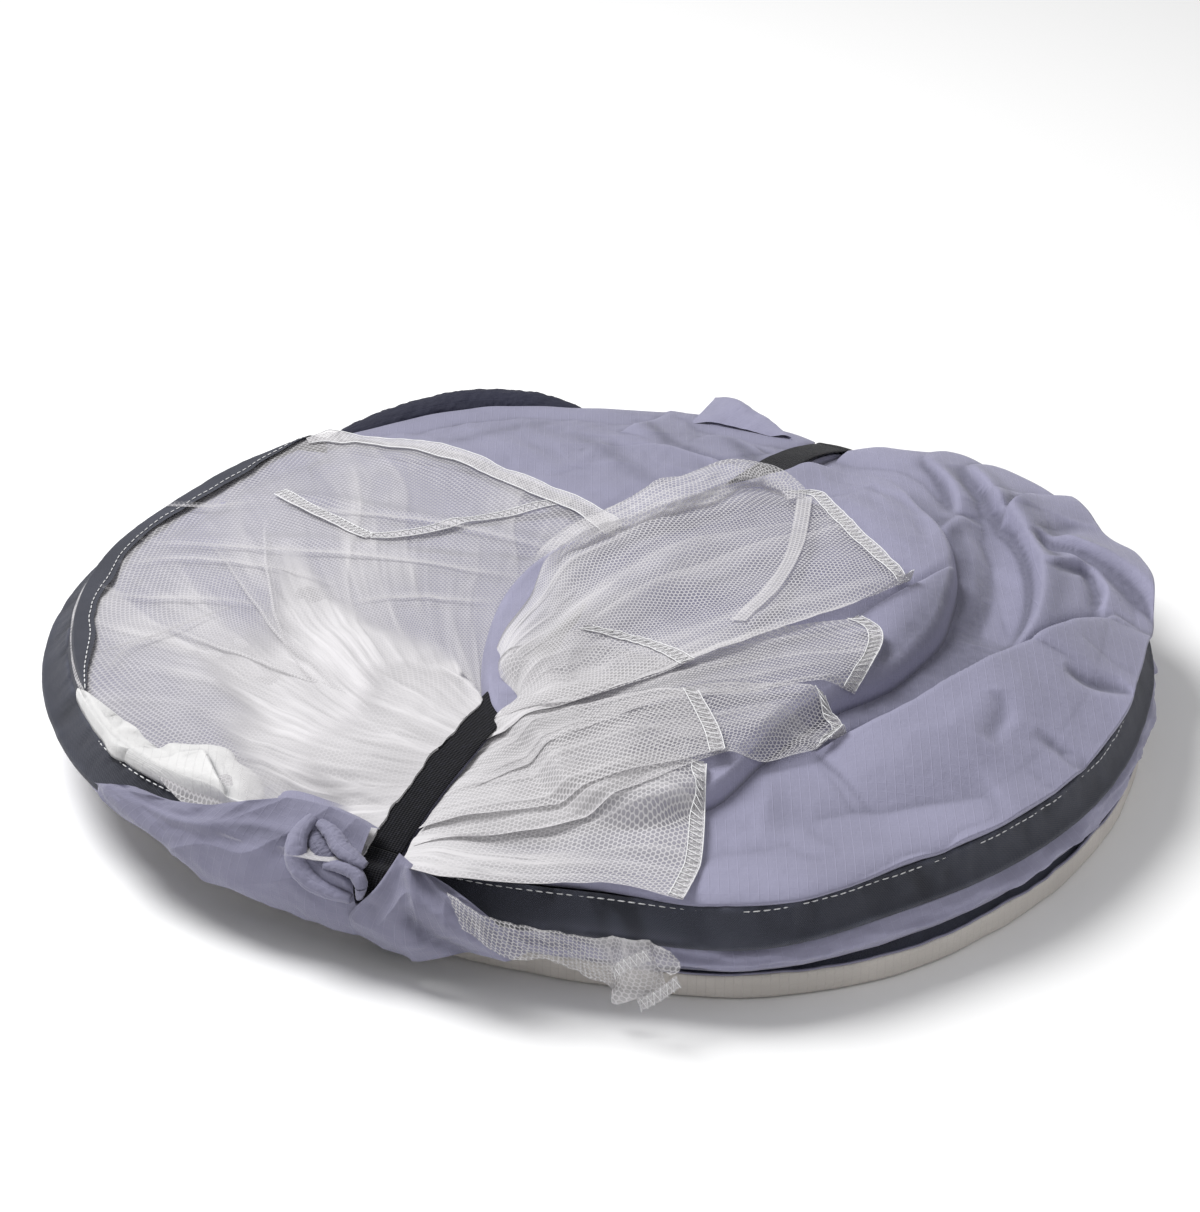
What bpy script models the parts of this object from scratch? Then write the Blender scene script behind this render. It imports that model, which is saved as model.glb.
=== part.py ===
"""Mosquito net tent, folded: three turns of spring wire in sewn tape sleeves lie on each
other, with the folded cloth and the net gathered on top and one elastic strap round the
waist. Metres, +Z up; the origin is on the ground under the middle of the folded disc.
The middle and the upper turn fan open about hinge lines at the back end of the strap,
where the wire passes from one turn to the next."""
import math

import bmesh
import bpy
from mathutils import Vector

# Overall sizes
DISC_RADIUS = 0.290
RIM_HEIGHT = 0.056
SEAT = 0.0003
TURN_CLEARANCE = 0.0015
LAYER_GAP = 0.0020

# Tape sleeves and wire
WIRE_RADIUS = 0.0015
TAPE_REACH = 0.0175
TAPE_WALL = 0.0008
SLEEVE_BORE = 0.0024
SLIT_WIDTH = 0.0008
MIDDLE_TILT = math.radians(62.0)
LOWER_TILT = math.radians(1.0)
FERRULE_RADIUS = 0.0021
FERRULE_LENGTH = 0.036
FERRULE_ANGLE = math.radians(153.0)
FERRULE_CLEARANCE = 0.0001
WIRE_END_GAP = 0.0010

# Ground sheet
GROUND_THICKNESS = 0.0032
GROUND_WALL = 0.0015
GROUND_WALL_HEIGHT = 0.0136
GROUND_EDGE_BEVEL = 0.0012

# Folded layers between the turns
LOWER_LAYERS_TOP = 0.0130
LAYER_DIP = 0.0012

# Elastic strap
STRAP_WIDTH = 0.020
STRAP_THICKNESS = 0.0015
STRAP_ANGLE = math.radians(61.3)
STRAP_OFFSET = 0.0157
STRAP_ARCH = 0.0275
CHANNEL_CLEARANCE = 0.0004

# Puffed heights of the cloth above the rim
LEFT_PUFF = 0.0200
BACK_PUFF = 0.0235
RIGHT_PUFF = 0.0185
WAIST_EDGE_GAP = 0.0006
LIP_HEIGHT = 0.0022
LIP_ROUND = 0.0050
OVERHANG_REACH = 0.0120
OVER_PANEL_EDGE = 0.0030
OVER_PANEL_LIFT = 0.0024

# Net bundles
LEFT_NET_LIFT = 0.0013
LEFT_NET_LOFT = 0.0130
RIGHT_NET_LOFT = 0.0090
NET_EDGE = 0.0015
LEFT_PLEAT = 0.0030
RIGHT_PLEAT = 0.0022
HEM_WIDTH = 0.0090
HEM_THICKNESS = 0.0012
HEM_LIFT = 0.0012
NET_ROLL_RADIUS = 0.0075
NET_CORNER_THICKNESS = 0.0030

# Turned-up cloth at the front, roll and tab at the back
FLAP_THICKNESS = 0.0030
FLAP_FOOT = 0.0030
FLAP_STAND_OFF = 0.0004
BACK_ROLL_RADIUS = 0.0090
BACK_TAB_THICKNESS = 0.0022
BACK_TAB_LIFT = 0.0030

# Hinge lines at the back end of the strap
HINGE_INSET = 0.0050
UPPER_HINGE_DROP = 0.0185
MIDDLE_HINGE_RISE = 0.0033

# Counts
STATIONS = 40
PATCH_SPOKES = 36
RIGHT_NET_SPOKES = 48
FERRULE_SIDES = 16
NET_ROLL_SIDES = 8
NET_ROLL_STEPS = 11
BACK_ROLL_SIDES = 10
STRAP_STEPS = 16
GATHER_STEPS = 12
WAIST_POINTS_RIGHT = 12
WAIST_POINTS_LEFT = 8
SEAM_POINTS = 8
DENSE_STEPS = 12
LAYER_WAVES = 3
LEFT_PLEATS = 9
RIGHT_PLEATS = 7
DOME_POWER = 4
FULL_TURN = 2 * math.pi
SLEEVE_FOLD_ANGLES = tuple(math.radians(a) for a in (90, 135, 180, 225, 270))
SEARCH_TOLERANCE = 0.00003

# Radii every 15 degrees from +X, as shares of DISC_RADIUS
TOP_RIM_SHARES = (
    1.016, 1.028, 1.031, 0.979, 0.909, 0.917, 0.952, 1.007, 1.000, 1.003, 1.000, 1.019,
    1.019, 1.007, 0.986, 0.931, 0.884, 0.903, 0.924, 0.979, 0.969, 0.979, 0.990, 0.997)
BASE_RIM_SHARES = (
    0.997, 1.003, 0.993, 0.945, 0.883, 0.890, 0.910, 0.945, 0.938, 0.945, 0.948, 0.945,
    0.931, 0.914, 0.876, 0.834, 0.807, 0.821, 0.862, 0.931, 0.966, 0.969, 0.976, 0.986)
# How steeply the upper tape hangs from its stitched edge, every 15 degrees, in degrees
UPPER_TILTS = (
    68, 66, 64, 62, 60, 58, 56, 54, 52, 50, 48, 46,
    46, 46, 48, 50, 52, 50, 54, 68, 72, 72, 72, 70)
# How far the puffed cloth hangs over the tape, every 15 degrees, shares of OVERHANG_REACH
OVERHANG_SHARES = (
    0.55, 0.80, 0.95, 1.00, 0.80, 0.90, 0.55, 0.10, 0.05, 0.05, 0.05, 0.05,
    0.05, 0.05, 0.05, 0.05, 0.05, 0.05, 0.05, 0.05, 0.05, 0.05, 0.05, 0.25)

# Plan outlines and lines, as shares of DISC_RADIUS
SEAM_SHARES = ((-0.560, 0.715), (-0.379, 0.590), (-0.221, 0.500), (-0.083, 0.380), (0.060, 0.215))
OVER_PANEL_SHARES = (
    (0.500, 0.520), (0.575, 0.400), (0.640, 0.120), (0.620, -0.130), (0.510, -0.345),
    (0.395, -0.430), (0.280, -0.560), (0.185, -0.690), (0.060, -0.740), (-0.080, -0.700),
    (-0.095, -0.470), (0.030, -0.190), (0.170, 0.080), (0.300, 0.330), (0.405, 0.510))
LEFT_NET_SHARES = (
    (-0.900, 0.050), (-0.835, 0.280), (-0.720, 0.480), (-0.570, 0.640), (-0.360, 0.560),
    (-0.205, 0.455), (-0.075, 0.335), (-0.020, 0.220), (-0.130, 0.050), (-0.225, -0.180),
    (-0.250, -0.400), (-0.305, -0.560), (-0.385, -0.640), (-0.480, -0.620), (-0.600, -0.600),
    (-0.745, -0.530), (-0.845, -0.380), (-0.900, -0.220))
LEFT_NET_CENTRE_SHARE = (-0.360, -0.340)
RIGHT_NET_SHARES = (
    (-0.105, -0.400), (-0.195, -0.225), (-0.130, 0.010), (0.000, 0.210), (0.130, 0.315),
    (0.200, 0.300), (0.370, 0.270), (0.440, 0.130), (0.520, -0.070), (0.440, -0.190),
    (0.430, -0.310), (0.350, -0.400), (0.355, -0.500), (0.265, -0.570), (0.130, -0.640),
    (0.105, -0.820), (0.050, -0.870), (-0.070, -0.850), (-0.200, -0.810), (-0.235, -0.700),
    (-0.180, -0.560))
RIGHT_NET_CENTRE_SHARE = (0.080, -0.280)
HEM_END_SHARES = {
    "net_hem_back": ((0.370, 0.270), (0.520, -0.070)),
    "net_hem_side": ((0.440, -0.190), (0.430, -0.310)),
    "net_hem_tip": ((0.350, -0.400), (0.355, -0.500)),
    "net_hem_front": ((0.130, -0.640), (0.105, -0.820)),
}
NET_ROLL_SHARES = ((0.165, 0.375), (0.225, 0.440), (0.300, 0.455), (0.375, 0.400), (0.400, 0.345))
BACK_ROLL_ANGLES = (126, 120, 114, 108, 102, 96, 91)
BACK_ROLL_GIRTH_SHARES = (0.35, 0.80, 1.00, 1.15, 1.20, 0.90, 0.35)
BACK_TAB_SHARES = ((0.200, 0.865), (0.235, 0.945), (0.330, 0.840), (0.385, 0.745), (0.290, 0.790))
RIGHT_FOLD_SHARES = (
    ((0.400, -0.500), (0.560, -0.350), (0.760, -0.070)),
    ((0.520, -0.560), (0.700, -0.360), (0.880, -0.060)),
    ((0.800, 0.180), (0.850, -0.120)),
    ((0.640, 0.400), (0.730, 0.130)))
RIGHT_FOLD_HEIGHTS = (-0.0070, 0.0065, 0.0055, -0.0050)
OVER_FOLD_SHARES = (
    ((0.050, -0.560), (0.330, -0.220), (0.560, 0.020)),
    ((0.120, -0.200), (0.420, 0.220)))
OVER_FOLD_HEIGHTS = (0.0020, -0.0030)
BACK_FOLD_SHARES = (((0.070, 0.760), (0.230, 0.560)), ((-0.250, 0.800), (-0.060, 0.520)))
BACK_FOLD_HEIGHTS = (-0.0030, 0.0030)
FOLD_HALF_WIDTH = 0.016

# Rings of the built bodies, as shares of their outlines
LOBE_FLOOR_SHARES = (0.55, 0.985)
LOBE_LIP_SHARES = (1.002, 0.96)
LOBE_RING_SHARES = (0.90, 0.83, 0.76, 0.68, 0.59, 0.48, 0.35, 0.18)
OVERHANG_LOW_SHARE = 0.8
LAYER_RING_SHARES = (0.97, 0.60, 0.25)
MIDDLE_LAYERS_SHARE = 0.22
BAND_RIM_SHARE = 0.6
BAND_FOOT_SHARE = 0.985
BAND_FOOT_RISE = 0.25
BAND_SHOULDER_SHARE = 0.992
PATCH_FLOOR_SHARES = (0.5, 0.8, 0.985)
OVER_RING_SHARES = (0.95, 0.82, 0.64, 0.44, 0.22)
LEFT_NET_RING_SHARES = (0.95, 0.80, 0.62, 0.42, 0.22)
RIGHT_NET_RING_SHARES = (0.95, 0.80, 0.60, 0.38, 0.18)
LEFT_NET_FALL_SHARE = 0.55
NET_ROLL_END_SHARE = 0.35

# Angles along the rim, in degrees
RIGHT_LOBE_ANGLES = (252, 412)
LEFT_LOBE_ANGLES = (130, 236)
BACK_LOBE_ANGLES = (70, 126)

# Front cloth: angles in degrees, and heights of its upper edge
LEFT_FLAP_ANGLES = (214, 218, 222, 226, 231, 236, 241)
LEFT_FLAP_LIP_SHARES = (0.02, 0.30, 0.65, 1.00, 1.25, 1.30, 0.90)
LEFT_FLAP_LIP = 0.0200
LEFT_FLAP_FOOT_SHARES = (0.60, 0.36, 0.18, 0.08, 0.06, 0.06, 0.06)
LEFT_FLAP_TOP_SHARES = (0.78, 0.95, 1.00, 1.00, 1.00, 1.00, 1.00)
RIGHT_FLAP_ANGLES = (249, 252, 255, 259, 263, 267, 271)
RIGHT_FLAP_TOP_SHARES = (1.00, 0.90, 0.74, 0.60, 0.48, 0.38, 0.30)
NET_CORNER_ANGLES = (255, 260, 265, 270, 274, 278, 282)
NET_CORNER_LOW_SHARES = (0.62, 0.50, 0.36, 0.20, 0.12, 0.16, 0.34)
NET_CORNER_HIGH_SHARES = (0.66, 0.62, 0.62, 0.62, 0.60, 0.56, 0.42)

CLOTH_BLUE = (0.27, 0.30, 0.43, 1.0)
CLOTH_NAVY = (0.05, 0.055, 0.13, 1.0)
CLOTH_CREAM = (0.62, 0.60, 0.54, 1.0)
TAPE_GREY = (0.06, 0.07, 0.09, 1.0)
NET_WHITE = (0.80, 0.80, 0.84, 1.0)
ELASTIC_BLACK = (0.012, 0.012, 0.018, 1.0)
STEEL = (0.55, 0.55, 0.56, 1.0)


def clear_scene():
    for old in list(bpy.data.objects):
        bpy.data.objects.remove(old, do_unlink=True)


def make_collection(name):
    group = bpy.data.collections.new(name)
    bpy.context.scene.collection.children.link(group)
    return group


def make_material(name, colour, roughness, metallic=0.0):
    finish = bpy.data.materials.new(name)
    finish.use_nodes = True
    shader = finish.node_tree.nodes["Principled BSDF"]
    shader.inputs["Base Color"].default_value = colour
    shader.inputs["Roughness"].default_value = roughness
    shader.inputs["Metallic"].default_value = metallic
    return finish


def add_object(name, data, finish, group, parent=None):
    item = bpy.data.objects.new(name, data)
    data.materials.append(finish)
    group.objects.link(item)
    if parent is not None:
        item.parent = parent
        item.matrix_parent_inverse = parent.matrix_world.inverted()
    return item


def mesh_from(name, points, faces):
    mesh = bpy.data.meshes.new(name)
    mesh.from_pydata([tuple(point) for point in points], [], faces)
    work = bmesh.new()
    work.from_mesh(mesh)
    bmesh.ops.recalc_face_normals(work, faces=work.faces)
    work.to_mesh(mesh)
    work.free()
    return mesh


def spline_value(values, position, closed):
    """Catmull-Rom value at a position counted in control steps."""
    count = len(values)
    index = math.floor(position)
    part = position - index
    if closed:
        p0, p1, p2, p3 = (values[(index + k) % count] for k in (-1, 0, 1, 2))
    else:
        p0, p1, p2, p3 = (values[min(max(index + k, 0), count - 1)] for k in (-1, 0, 1, 2))
    slope_in, slope_out = (p2 - p0) / 2, (p3 - p1) / 2
    square, cube = part * part, part * part * part
    return (p1 * (2 * cube - 3 * square + 1) + slope_in * (cube - 2 * square + part)
            + p2 * (3 * square - 2 * cube) + slope_out * (cube - square))


def table_value(table, angle):
    return spline_value(table, (angle % FULL_TURN) / FULL_TURN * len(table), True)


def station_angles():
    return [FULL_TURN * k / STATIONS for k in range(STATIONS)]


def polar(radius, angle, height=0.0):
    return Vector((radius * math.cos(angle), radius * math.sin(angle), height))


def top_rim(angle):
    return table_value(TOP_RIM_SHARES, angle) * DISC_RADIUS


def base_rim(angle):
    return table_value(BASE_RIM_SHARES, angle) * DISC_RADIUS


def upper_tilt(angle):
    return math.radians(table_value(UPPER_TILTS, angle))


def sleeve_radius():
    return SLEEVE_BORE + TAPE_WALL


def stitched_edge(angle):
    """Plan radius of the upper tape's stitched edge."""
    return top_rim(angle) - sleeve_radius() - TAPE_REACH * math.cos(upper_tilt(angle))


def middle_rim(angle):
    return base_rim(angle) - GROUND_WALL - TURN_CLEARANCE


def middle_wire_height():
    return GROUND_THICKNESS + SEAT + sleeve_radius()


def middle_edge(angle):
    return middle_rim(angle) - sleeve_radius() - TAPE_REACH * math.cos(MIDDLE_TILT)


def middle_tape_top():
    return middle_wire_height() + TAPE_REACH * math.sin(MIDDLE_TILT) + sleeve_radius()


def band_top():
    """Just under the upper tape where it hangs lowest."""
    steepest = math.radians(max(UPPER_TILTS))
    return RIM_HEIGHT - TAPE_REACH * math.sin(steepest) - sleeve_radius()


def middle_layers_top():
    return middle_tape_top() + (band_top() - middle_tape_top()) * MIDDLE_LAYERS_SHARE


def lower_rim(angle):
    lean = 2 * sleeve_radius() / math.tan(MIDDLE_TILT)
    return middle_rim(angle) - 2 * sleeve_radius() - lean - TURN_CLEARANCE


def lower_edge(angle):
    return lower_rim(angle) - sleeve_radius() - TAPE_REACH


def tape_paths():
    """Per turn: the wire's radius and height, and the tilt of its tape, by angle."""
    def upper(angle):
        tilt = upper_tilt(angle)
        return top_rim(angle) - sleeve_radius(), RIM_HEIGHT - TAPE_REACH * math.sin(tilt), tilt

    def middle(angle):
        return middle_rim(angle) - sleeve_radius(), middle_wire_height(), MIDDLE_TILT

    def lower(angle):
        return lower_rim(angle) - sleeve_radius(), middle_wire_height(), LOWER_TILT

    return {"upper": upper, "middle": middle, "lower": lower}


def ring_faces(ring_count, size, first=0, wrap_rings=False):
    faces = []
    last = ring_count if wrap_rings else ring_count - 1
    for ring in range(last):
        low = first + ring * size
        high = first + ((ring + 1) % ring_count) * size
        for k in range(size):
            after = (k + 1) % size
            faces.append((low + k, low + after, high + after, high + k))
    return faces


def ring_solid(name, rings, poles, finish, group, parent=None):
    """Closed body from loops of equal count, closed by a fan at each pole."""
    size = len(rings[0])
    points = [point for ring in rings for point in ring] + list(poles)
    faces = ring_faces(len(rings), size)
    low_pole, high_pole = len(points) - 2, len(points) - 1
    top = (len(rings) - 1) * size
    for k in range(size):
        after = (k + 1) % size
        faces.append((low_pole, after, k))
        faces.append((high_pole, top + k, top + after))
    return add_object(name, mesh_from(name, points, faces), finish, group, parent)


def section_solid(name, sections, finish, group, parent=None):
    """Closed body lofted through open-ended sections of equal count, with flat ends."""
    size = len(sections[0])
    points = [point for section in sections for point in section]
    faces = ring_faces(len(sections), size)
    faces.append(tuple(range(size)))
    faces.append(tuple(reversed(range(len(points) - size, len(points)))))
    return add_object(name, mesh_from(name, points, faces), finish, group, parent)


def sleeve_profile():
    """Tape folded round the wire, in (towards the stitched edge, across) sizes."""
    outer, inner = sleeve_radius(), SLEEVE_BORE
    lip = SLIT_WIDTH / 2
    outside = [(outer * math.cos(a), outer * math.sin(a)) for a in SLEEVE_FOLD_ANGLES]
    inside = [(inner * math.cos(a), inner * math.sin(a)) for a in SLEEVE_FOLD_ANGLES]
    return ([(TAPE_REACH, lip + TAPE_WALL)] + outside + [(TAPE_REACH, -lip - TAPE_WALL)]
            + [(TAPE_REACH, -lip)] + list(reversed(inside)) + [(TAPE_REACH, lip)])


def tape_section(path, angle):
    radius, height, tilt = path(angle)
    section = []
    for along, across in sleeve_profile():
        inward = along * math.cos(tilt) - across * math.sin(tilt)
        rise = along * math.sin(tilt) + across * math.cos(tilt)
        section.append(polar(radius - inward, angle, height + rise))
    return section


def tape(name, path, finish, group, parent):
    sections = [tape_section(path, angle) for angle in station_angles()]
    size = len(sections[0])
    points = [point for section in sections for point in section]
    faces = ring_faces(len(sections), size, wrap_rings=True)
    return add_object(name, mesh_from(name, points, faces), finish, group, parent)


def wire_points(path):
    points = []
    for angle in station_angles():
        radius, height, _tilt = path(angle)
        points.append(polar(radius, angle, height))
    return points


def wire(name, points, closed, finish, group, parent):
    curve = bpy.data.curves.new(name, "CURVE")
    curve.dimensions = "3D"
    curve.bevel_depth = WIRE_RADIUS
    curve.bevel_resolution = 1
    curve.use_fill_caps = True
    spline = curve.splines.new("POLY")
    spline.points.add(len(points) - 1)
    for target, point in zip(spline.points, points):
        target.co = (point.x, point.y, point.z, 1.0)
    spline.use_cyclic_u = closed
    return add_object(name, curve, finish, group, parent)


def upper_wire_and_ferrule(path, steel, group, parent):
    """The wire's two ends meet inside a crimped ferrule, in the middle of one flat run."""
    points = wire_points(path)
    step = round(FERRULE_ANGLE / FULL_TURN * STATIONS)
    ordered = points[step:] + points[:step]
    first, last = ordered[0], ordered[-1]
    run = (first - last).normalized()
    middle = (first + last) / 2
    ordered.append(middle - run * (WIRE_END_GAP / 2))
    ordered.insert(0, middle + run * (WIRE_END_GAP / 2))
    wire("upper_wire", ordered, False, steel, group, parent)
    return middle, run


def ferrule(middle, run, finish, group, parent):
    """Tube on the wire's ends: a turned wall between the wire and the sleeve."""
    bore = WIRE_RADIUS + FERRULE_CLEARANCE
    side = run.cross(Vector((0, 0, 1))).normalized()
    up = side.cross(run)
    rings = []
    for radius, end in ((bore, -1), (FERRULE_RADIUS, -1), (FERRULE_RADIUS, 1), (bore, 1)):
        ring = []
        for k in range(FERRULE_SIDES):
            turn = FULL_TURN * k / FERRULE_SIDES
            offset = side * math.cos(turn) + up * math.sin(turn)
            ring.append(middle + run * (end * FERRULE_LENGTH / 2) + offset * radius)
        rings.append(ring)
    points = [point for ring in rings for point in ring]
    faces = ring_faces(len(rings), FERRULE_SIDES, wrap_rings=True)
    return add_object("wire_ferrule", mesh_from("wire_ferrule", points, faces), finish, group, parent)


def radial_ring(radius_of, height_of, share=1):
    return [polar(radius_of(a) * share, a, height_of(a)) for a in station_angles()]


def level(height):
    """The same height at every angle or place."""
    return lambda _place: height


def ground_sheet(finish, group):
    """Cream ground sheet: a floor with its edge turned up round the lower turns."""
    def wall_inside(angle):
        return base_rim(angle) - GROUND_WALL

    def foot(angle):
        return base_rim(angle) - GROUND_EDGE_BEVEL

    rings = [
        radial_ring(foot, level(0.0)),
        radial_ring(base_rim, level(GROUND_EDGE_BEVEL)),
        radial_ring(base_rim, level(GROUND_WALL_HEIGHT)),
        radial_ring(wall_inside, level(GROUND_WALL_HEIGHT)),
        radial_ring(wall_inside, level(GROUND_THICKNESS)),
    ]
    poles = (Vector((0, 0, 0)), Vector((0, 0, GROUND_THICKNESS)))
    return ring_solid("ground_sheet", rings, poles, finish, group)


def strap_frame():
    along = Vector((math.cos(STRAP_ANGLE), math.sin(STRAP_ANGLE), 0))
    side = Vector((math.sin(STRAP_ANGLE), -math.cos(STRAP_ANGLE), 0))
    return along, side


def strap_place(along, side, height):
    forward, across = strap_frame()
    return forward * along + across * (STRAP_OFFSET + side) + Vector((0, 0, height))


def strap_coordinates(point):
    forward, across = strap_frame()
    return point.dot(forward), point.dot(across) - STRAP_OFFSET


def rim_crossing(radius_of, side, end):
    """How far along the strap's line a rim lies, at one side place, front (-1) or back (1)."""
    near, far = 0.0, 2 * DISC_RADIUS
    while far - near > SEARCH_TOLERANCE:
        middle = (near + far) / 2
        place = strap_place(end * middle, side, 0)
        inside = math.hypot(place.x, place.y) < radius_of(math.atan2(place.y, place.x))
        near, far = (middle, far) if inside else (near, middle)
    return end * near


def strap_crossing(radius_of, end, pick):
    """The rim's place under the strap's whole width: its nearest (min) or farthest (max)."""
    half = STRAP_WIDTH / 2 + WAIST_EDGE_GAP
    return end * pick(abs(rim_crossing(radius_of, side, end)) for side in (-half, 0, half))


def strap_channel(group):
    """Cutter for the shallow channel that the strap presses into the ground sheet."""
    depth = STRAP_THICKNESS + 2 * CHANNEL_CLEARANCE
    bpy.ops.mesh.primitive_cube_add(size=1)
    cutter = bpy.context.object
    cutter.name = "strap_channel"
    cutter.scale = (2 * DISC_RADIUS + STRAP_WIDTH, STRAP_WIDTH + 2 * CHANNEL_CLEARANCE, 2 * depth)
    cutter.rotation_euler = (0, 0, STRAP_ANGLE)
    cutter.location = strap_place(0, 0, 0)
    cutter.hide_render = True
    cutter.display_type = "WIRE"
    for owner in list(cutter.users_collection):
        owner.objects.unlink(cutter)
    group.objects.link(cutter)
    return cutter


def cut(item, cutter):
    boolean = item.modifiers.new("cut", "BOOLEAN")
    boolean.operation = "DIFFERENCE"
    boolean.solver = "EXACT"
    boolean.object = cutter


def disc_layers(name, edge_of, low, high, dip, finish, group, parent=None):
    """Folded cloth lying inside a turn, a little sunk between its folds."""
    def sunk(angle):
        return high - dip * (1 + math.cos(LAYER_WAVES * angle)) / 2

    crest, trough, middle = LAYER_RING_SHARES
    rings = [
        radial_ring(edge_of, level(low)),
        radial_ring(edge_of, level(high - dip)),
        radial_ring(edge_of, level(high), crest),
        radial_ring(edge_of, sunk, trough),
        radial_ring(edge_of, level(high), middle),
    ]
    poles = (Vector((0, 0, low)), Vector((0, 0, high - dip)))
    return ring_solid(name, rings, poles, finish, group, parent)


def band_rim(angle):
    step = (top_rim(angle) - base_rim(angle)) * BAND_RIM_SHARE
    return base_rim(angle) + step - sleeve_radius() / 2


def upper_band(path, finish, group, parent):
    """Wall cloth folded up under the upper turn; its edge shows between the two tapes."""
    low = middle_layers_top() + SEAT

    def under_tape(angle):
        _radius, height, _tilt = path(angle)
        return height - sleeve_radius() - SEAT

    rings = [
        radial_ring(band_rim, level(low), BAND_FOOT_SHARE),
        radial_ring(band_rim, lambda a: low + (under_tape(a) - low) * BAND_FOOT_RISE),
        radial_ring(band_rim, lambda a: (low + under_tape(a)) / 2),
        radial_ring(band_rim, under_tape, BAND_SHOULDER_SHARE),
        radial_ring(stitched_edge, level(band_top())),
    ]
    poles = (Vector((0, 0, low)), Vector((0, 0, band_top())))
    return ring_solid("upper_band", rings, poles, finish, group, parent)


def plan_shares(shares):
    return [Vector((x * DISC_RADIUS, y * DISC_RADIUS, 0)) for x, y in shares]


def smooth_path(points, count, closed):
    """Evenly spaced points on the smooth curve through the given ones."""
    steps = len(points) * DENSE_STEPS
    span = len(points) if closed else len(points) - 1
    dense = [spline_value(points, span * k / steps, closed) for k in range(steps + 1)]
    lengths = [0.0]
    for before, after in zip(dense, dense[1:]):
        lengths.append(lengths[-1] + (after - before).length)
    total = lengths[-1]
    result = []
    index = 0
    for k in range(count):
        target = total * k / (count if closed else count - 1)
        while index < steps - 1 and lengths[index + 1] < target:
            index += 1
        part = (target - lengths[index]) / (lengths[index + 1] - lengths[index])
        result.append(dense[index].lerp(dense[index + 1], part))
    return result


def dome(point, puff):
    """Height of puffed cloth: the stitched edge's height, raised towards the middle."""
    angle = math.atan2(point.y, point.x)
    reach = math.hypot(point.x, point.y) / stitched_edge(angle)
    return RIM_HEIGHT + puff * (1 - min(reach, 1.0) ** DOME_POWER)


def line_distance(point, shares):
    """Distance in plan from a point to a line of shares."""
    places = plan_shares(shares)
    flat = Vector((point.x, point.y, 0))
    best = None
    for start, end in zip(places, places[1:]):
        run = end - start
        part = min(max((flat - start).dot(run) / run.length_squared, 0.0), 1.0)
        gap = (flat - start - run * part).length
        best = gap if best is None else min(best, gap)
    return best


def folded(point, puff, folds, heights):
    """Puffed cloth with its main folds: ridges where the height is positive."""
    rise = dome(point, puff)
    for shares, height in zip(folds, heights):
        rise += height * math.exp(-(line_distance(point, shares) / FOLD_HALF_WIDTH) ** 2)
    return rise


def right_top(point):
    return folded(point, RIGHT_PUFF, RIGHT_FOLD_SHARES, RIGHT_FOLD_HEIGHTS)


def over_top(point):
    """The folded panel rises as high as the strap beside it, so that the net lies on both."""
    return folded(point, STRAP_ARCH, OVER_FOLD_SHARES, OVER_FOLD_HEIGHTS)


def left_top(point):
    return dome(point, LEFT_PUFF)


def back_top(point):
    return folded(point, BACK_PUFF, BACK_FOLD_SHARES, BACK_FOLD_HEIGHTS)


def rim_run(first, last):
    """Points just inside the upper tape's stitched edge, between two angles in degrees."""
    points = []
    for angle in station_angles():
        turn = math.degrees(angle)
        for value in (turn, turn + 360):
            if first <= value <= last:
                points.append((value, polar(panel_edge(angle), angle)))
    return [point for _value, point in sorted(points, key=lambda pair: pair[0])]


def strap_side_run(start, end, side, count):
    """Points beside the strap, from one place along it to another."""
    return [strap_place(start + (end - start) * k / (count - 1), side, 0) for k in range(count)]


def scaled_ring(outline, centre, share, height_of):
    ring = []
    for point in outline:
        place = centre + (point - centre) * share
        ring.append(Vector((place.x, place.y, height_of(place))))
    return ring


def pushed_out(point, reach):
    """A rim point pushed outwards by its share of the overhang, others left as they are."""
    angle = math.atan2(point.y, point.x)
    near_rim = math.hypot(point.x, point.y) > stitched_edge(angle) - 2 * LAYER_GAP
    share = table_value(OVERHANG_SHARES, angle) if near_rim else 0.0
    return point + point.normalized() * (OVERHANG_REACH * share * reach)


def lobe(name, outline, top_of, finish, group, parent):
    """Puffed cloth of one lobe: fills the turn from its band up, and puffs over the tape."""
    centre = sum(outline, Vector()) / len(outline)
    low = band_top() + SEAT
    lip = RIM_HEIGHT + LIP_HEIGHT
    out_low = [pushed_out(point, OVERHANG_LOW_SHARE) for point in outline]
    out_high = [pushed_out(point, 1) for point in outline]
    under, over = LOBE_LIP_SHARES
    rings = [scaled_ring(outline, centre, share, level(low)) for share in LOBE_FLOOR_SHARES]
    rings += [
        scaled_ring(outline, centre, 1, level(lip)),
        scaled_ring(out_low, centre, under, level(lip + SEAT)),
        scaled_ring(out_high, centre, 1, lambda p: max(top_of(p), lip + LAYER_GAP)),
        scaled_ring(outline, centre, over, lambda p: max(top_of(p), lip + LIP_ROUND)),
    ]
    rings += [scaled_ring(outline, centre, share, top_of) for share in LOBE_RING_SHARES]
    poles = (Vector((centre.x, centre.y, low)), Vector((centre.x, centre.y, top_of(centre))))
    return ring_solid(name, rings, poles, finish, group, parent)


def waist_half():
    return STRAP_WIDTH / 2 + WAIST_EDGE_GAP


def panel_edge(angle):
    return stitched_edge(angle) - sleeve_radius()


def waist_corner(side, end):
    """Where a lobe's straight side beside the strap meets the rim."""
    return rim_crossing(panel_edge, side, end) - end * WAIST_EDGE_GAP


def right_outline():
    side = waist_half()
    rim = rim_run(*RIGHT_LOBE_ANGLES)
    front, back = waist_corner(side, -1), waist_corner(side, 1)
    return rim + strap_side_run(back, front, side, WAIST_POINTS_RIGHT)


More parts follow.
